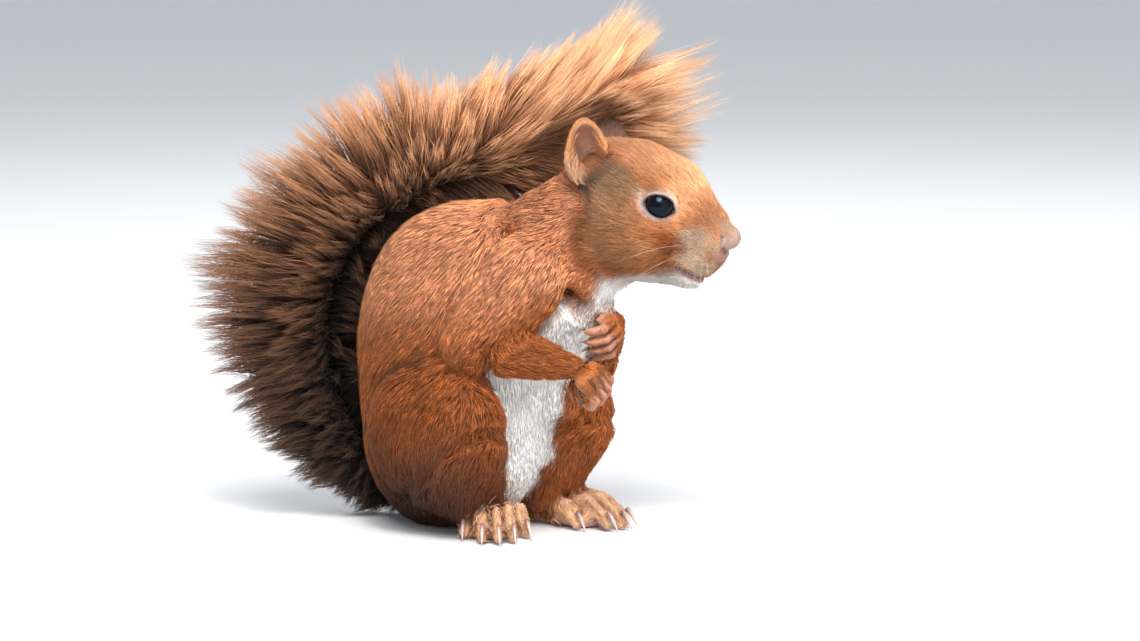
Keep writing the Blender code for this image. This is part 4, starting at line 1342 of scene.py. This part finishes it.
def eyeball(side, finish):
    """A ball with a bulging cornea, in the place of the eye's node."""
    rows, sides = 40, 56
    tilt = np.repeat(np.linspace(0.02, math.pi - 0.02, rows), sides)
    angle = np.tile(np.linspace(0, 2 * math.pi, sides, endpoint=False), rows)
    radius = EYE_RADIUS * 0.985 + 0.28 * np.exp(-((tilt / 0.75) ** 2))
    vertices = EYES[side] + eye_directions(side, angle, tilt) * radius[:, None]
    ring, step = np.arange(rows - 1)[:, None] * sides, np.arange(sides)
    after = (step + 1) % sides
    first = np.stack([ring + step, ring + sides + after, ring + after], axis=-1).reshape(-1, 3)
    second = np.stack([ring + step, ring + sides + step, ring + sides + after], axis=-1).reshape(-1, 3)
    fan = np.arange(1, sides - 1)
    cap = np.stack([0 * fan, fan, fan + 1], axis=-1)
    end = np.stack([0 * fan, fan + 1, fan], axis=-1) + (rows - 1) * sides
    triangles = np.concatenate([first, second, cap, end])
    made = mesh_object(f"eyeball_{side}", vertices, triangles)
    iris = ramp(0.72, 0.85, tilt) * (1 - ramp(1.05, 1.2, tilt))
    paint(made, mix((0.001, 0.001, 0.0015), (0.004, 0.0025, 0.002), iris))
    made.data.materials.append(finish)
    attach(made, "root")
    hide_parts(f"eye_{side}")
    return made


def claw(node, parent, finish, base_radius, droop):
    """A curved horn tapering to a point, from where the claw's node leaves the digit to its tip."""
    spots = places(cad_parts[node].data)
    centre = spots.mean(axis=0)
    axis = np.linalg.svd(spots - centre, full_matrices=False)[2][0]
    if axis @ (centre - middle(parent)) < 0:
        axis = -axis
    along = (spots - centre) @ axis
    base, tip = centre + axis * (along.min() - 1.3), spots[np.argmax(along)]
    step = np.linspace(0, 1, 14)
    arch = np.sin(step * math.pi)[:, None] * np.array([0, 0, droop])
    points = base + (tip - base) * step[:, None] + arch
    radii = base_radius * (1 - step**1.6) ** 0.8 + 0.06
    points[:, 2] = np.maximum(points[:, 2], radii + 0.02)
    vertices, triangles = tube(points, radii, sides=12, flatness=1.25, upward=(0.01, 0.02, 1))
    made = mesh_object(f"{node}_horn", vertices, triangles)
    tint = mix((0.24, 0.13, 0.11), (0.52, 0.42, 0.38), ramp(0.05, 0.6, step))
    if node.startswith("finger"):
        tint = tint * 0.35
    paint(made, np.repeat(tint, 12, axis=0))
    made.data.materials.append(finish)
    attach(made, "root")
    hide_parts(node)


# ---------------------------------------------------------------- whiskers and bristles


def single_hairs(name, hide, places_in_head, directions, lengths, width, colour, curl, finish):
    """Separate hairs that grow from the skin near given places of the head, both sides."""
    starts, flats, ways = [], [], []
    for place, direction in zip(places_in_head, directions):
        spot, normal, face, _ = hide.tree.find_nearest(from_head(place).tolist())
        starts.append(np.array(spot) - np.array(normal) * 0.4)
        flats.append(hide.flat[face].mean(axis=0))
        ways.append(HEAD @ np.asarray(direction, float))
    starts, flats, ways = np.array(starts), np.array(flats), unit(np.array(ways))
    tips = starts + ways * lengths[:, None] + np.array([0, 0, -1.0]) * (curl * lengths)[:, None]
    spine = hair_path(starts, starts + ways * (lengths * 0.5)[:, None], tips, 7)
    across = unit(np.cross(ways, unit(rng.normal(size=ways.shape))))
    along = np.linspace(0, 1, 7)[None, :, None]
    colours = np.asarray(colour)[None, None] * (0.5 + 0.6 * along) * np.ones((len(starts), 1, 1))
    return spike_pieces(name, spine, across[:, None], np.cross(across, ways)[:, None], width,
                        (1.0, 1.0, 0.9, 0.8, 0.6, 0.4), colours, flats, finish)


def face_hairs(hide, finish):
    """Whiskers in rows on the pads, and short white bristles round the lips and chin."""
    spots, ways, lengths = [], [], []
    for way in SIDES.values():
        for row in range(3):
            for number in range(3):
                spots.append((35.0 - 2.6 * number, way * 6.5, -2.6 - 2.3 * row))
                ways.append((0.35 - 0.55 * number, way * 1.0, 0.25 - 0.38 * row))
                lengths.append(17 + 5 * number - 1.5 * row)
    count = len(spots)
    lengths = np.array(lengths) * rng.uniform(0.85, 1.1, count)
    width = np.full(count, 0.15)
    single_hairs("whiskers", hide, spots, ways, lengths, width, (0.62, 0.50, 0.42), 0.22, finish)
    count = 190
    forward = rng.uniform(22, 39, count)
    way = rng.choice([-1, 1], count)
    on_chin = rng.random(count) < 0.8
    spots = np.stack([forward, way * rng.uniform(0, 6.5, count), np.where(on_chin, -18.5, -11.3)], axis=1)
    ahead, aside = rng.uniform(0.1, 0.7, count), way * rng.uniform(0, 0.5, count)
    ways = np.stack([ahead, aside, -np.ones(count)], axis=1)
    lengths = rng.uniform(1.4, 3.0, count)
    width = np.full(count, 0.12)
    single_hairs("bristles", hide, spots, ways, lengths, width, (0.85, 0.80, 0.74), 0.0, finish)


# ---------------------------------------------------------------- materials


def new_material(name, roughness):
    """A Principled material: itself, its node tree and its surface node."""
    made = bpy.data.materials.new(name)
    made.use_nodes = True
    surface = made.node_tree.nodes["Principled BSDF"]
    surface.inputs["Roughness"].default_value = roughness
    return made, made.node_tree, surface


def painted(tree, surface, scale, strength):
    """The stored colour, varied a little by noise, as a surface's base colour."""
    stored = tree.nodes.new("ShaderNodeAttribute")
    stored.attribute_name = "coat"
    place = tree.nodes.new("ShaderNodeTexCoord")
    noise = tree.nodes.new("ShaderNodeTexNoise")
    noise.inputs["Scale"].default_value = scale
    noise.inputs["Detail"].default_value = 3.0
    spread = tree.nodes.new("ShaderNodeMapRange")
    spread.inputs["To Min"].default_value = 1 - strength
    spread.inputs["To Max"].default_value = 1 + strength
    vary = tree.nodes.new("ShaderNodeVectorMath")
    vary.operation = "SCALE"
    tree.links.new(place.outputs["Object"], noise.inputs["Vector"])
    tree.links.new(noise.outputs["Fac"], spread.inputs["Value"])
    tree.links.new(stored.outputs["Color"], vary.inputs[0])
    tree.links.new(spread.outputs["Result"], vary.inputs["Scale"])
    tree.links.new(vary.outputs["Vector"], surface.inputs["Base Color"])
    return place


def bumped(tree, surface, place, scale, height):
    """Fine grain from noise, in metres of height."""
    grain = tree.nodes.new("ShaderNodeTexNoise")
    grain.inputs["Scale"].default_value = scale
    grain.inputs["Detail"].default_value = 4.0
    bump = tree.nodes.new("ShaderNodeBump")
    bump.inputs["Distance"].default_value = height
    bump.inputs["Strength"].default_value = 0.8
    tree.links.new(place.outputs["Object"], grain.inputs["Vector"])
    tree.links.new(grain.outputs["Fac"], bump.inputs["Height"])
    tree.links.new(bump.outputs["Normal"], surface.inputs["Normal"])


def hair_material(name, roughness, sheen):
    """Dry hair with a faint warm sheen."""
    made, tree, surface = new_material(name, roughness)
    surface.inputs["Sheen Weight"].default_value = sheen
    surface.inputs["Sheen Roughness"].default_value = 0.4
    surface.inputs["Sheen Tint"].default_value = (1.0, 0.78, 0.62, 1)
    surface.inputs["Specular IOR Level"].default_value = 0.2
    painted(tree, surface, 260.0, 0.22)
    return made


def skin_material():
    """Skin that lets a little light in, finely grained."""
    made, tree, surface = new_material("hide", 0.55)
    surface.inputs["Subsurface Weight"].default_value = 0.12
    surface.inputs["Subsurface Scale"].default_value = 0.0015
    place = painted(tree, surface, 900.0, 0.16)
    bumped(tree, surface, place, 2600.0, 0.00012)
    return made


def eye_material():
    """A smooth wet surface that reflects a little blue."""
    made, tree, surface = new_material("wet_eye", 0.03)
    surface.inputs["Specular IOR Level"].default_value = 0.22
    surface.inputs["Specular Tint"].default_value = (0.55, 0.75, 1.0, 1)
    painted(tree, surface, 1500.0, 0.3)
    return made


def horn_material():
    """The translucent horn of the claws."""
    made, tree, surface = new_material("horn", 0.32)
    surface.inputs["Subsurface Weight"].default_value = 0.25
    surface.inputs["Subsurface Scale"].default_value = 0.001
    place = painted(tree, surface, 700.0, 0.12)
    bumped(tree, surface, place, 1800.0, 0.00005)
    return made


# ---------------------------------------------------------------- stage

TARGET = Vector((0.03067, -0.00194, 0.0634))  # metres
CAMERA_DISTANCE, CAMERA_RISE = 1.5, math.radians(7)
CAMERA_LENS, SENSOR = 156.3, 36.0
# Each light's name, place in metres, width in metres and power in watts; they all aim at the target.
LIGHTS = (
    ("key", (0.02, -0.72, 1.07), 0.95, 22.5),
    ("front", (0.95, -1.1, 0.30), 1.8, 9.0),
    ("catch", (0.06, -0.76, 1.04), 0.18, 6.5),
    ("rim", (0.1, 0.9, 0.9), 0.7, 5.0),
)


def set_stage():
    """A pale floor and surroundings, and soft round lights above, in front and behind."""
    scene = bpy.context.scene
    bpy.ops.mesh.primitive_plane_add(size=8, location=(0, 0, 0))
    floor = bpy.context.object
    floor.name = "floor"
    made, _, surface = new_material("floor_paint", 0.7)
    surface.inputs["Base Color"].default_value = (0.72, 0.73, 0.75, 1)
    floor.data.materials.append(made)
    world = bpy.data.worlds.new("studio")
    world.use_nodes = True
    background = world.node_tree.nodes["Background"]
    background.inputs["Color"].default_value = (0.88, 0.93, 1.0, 1)
    background.inputs["Strength"].default_value = 0.70
    scene.world = world
    for name, spot, size, power in LIGHTS:
        light = bpy.data.lights.new(name, "AREA")
        light.shape, light.size, light.energy = "DISK", size, power
        light.color = (1.0, 0.97, 0.93)
        lamp = bpy.data.objects.new(name, light)
        lamp.location = spot
        lamp.rotation_euler = (TARGET - Vector(spot)).to_track_quat("-Z", "Y").to_euler()
        scene.collection.objects.link(lamp)
    scene.view_settings.view_transform = "Standard"


def set_camera():
    """A long lens at the animal's right side, a little above its level."""
    camera = bpy.data.cameras.new("camera")
    camera.lens, camera.sensor_width = CAMERA_LENS, SENSOR
    camera.clip_start, camera.clip_end = 0.05, 50
    made = bpy.data.objects.new("camera", camera)
    away = Vector((0, -math.cos(CAMERA_RISE), math.sin(CAMERA_RISE)))
    made.location = TARGET + away * CAMERA_DISTANCE
    made.rotation_euler = (-away).to_track_quat("-Z", "Y").to_euler()
    bpy.context.scene.collection.objects.link(made)
    bpy.context.scene.camera = made


# ---------------------------------------------------------------- the whole


def main():
    """Builds the skin, the coat, the eyes, the claws and the stage."""
    fur, tail_fur = hair_material("fur", 0.60, 0.07), hair_material("tail_fur", 0.6, 0.08)
    skin = make_skin()
    hide = Hide(skin)
    coat, lie, bare = markings(hide), coat_lie(hide), bareness(hide)
    paint(skin, hide_colours(hide, coat, bare))
    skin.data.materials.clear()
    skin.data.materials.append(skin_material())
    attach(skin, "root")
    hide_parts(*FLESH, *TAIL_NODES)
    cover_body(hide, coat, lie, bare, fur)
    dress_tail(hide, tail_fur)
    face_hairs(hide, fur)
    wet, horn = eye_material(), horn_material()
    for side in SIDES:
        eyeball(side, wet)
        for number in range(1, 6):
            claw(f"toe_claw_{side}_{number}", f"foot_{side}", horn, 0.58, 0.75)
        for number in range(1, 5):
            claw(f"finger_claw_{side}_{number}", f"hand_{side}", horn, 0.42, 0.3)
    set_stage()
    set_camera()


main()
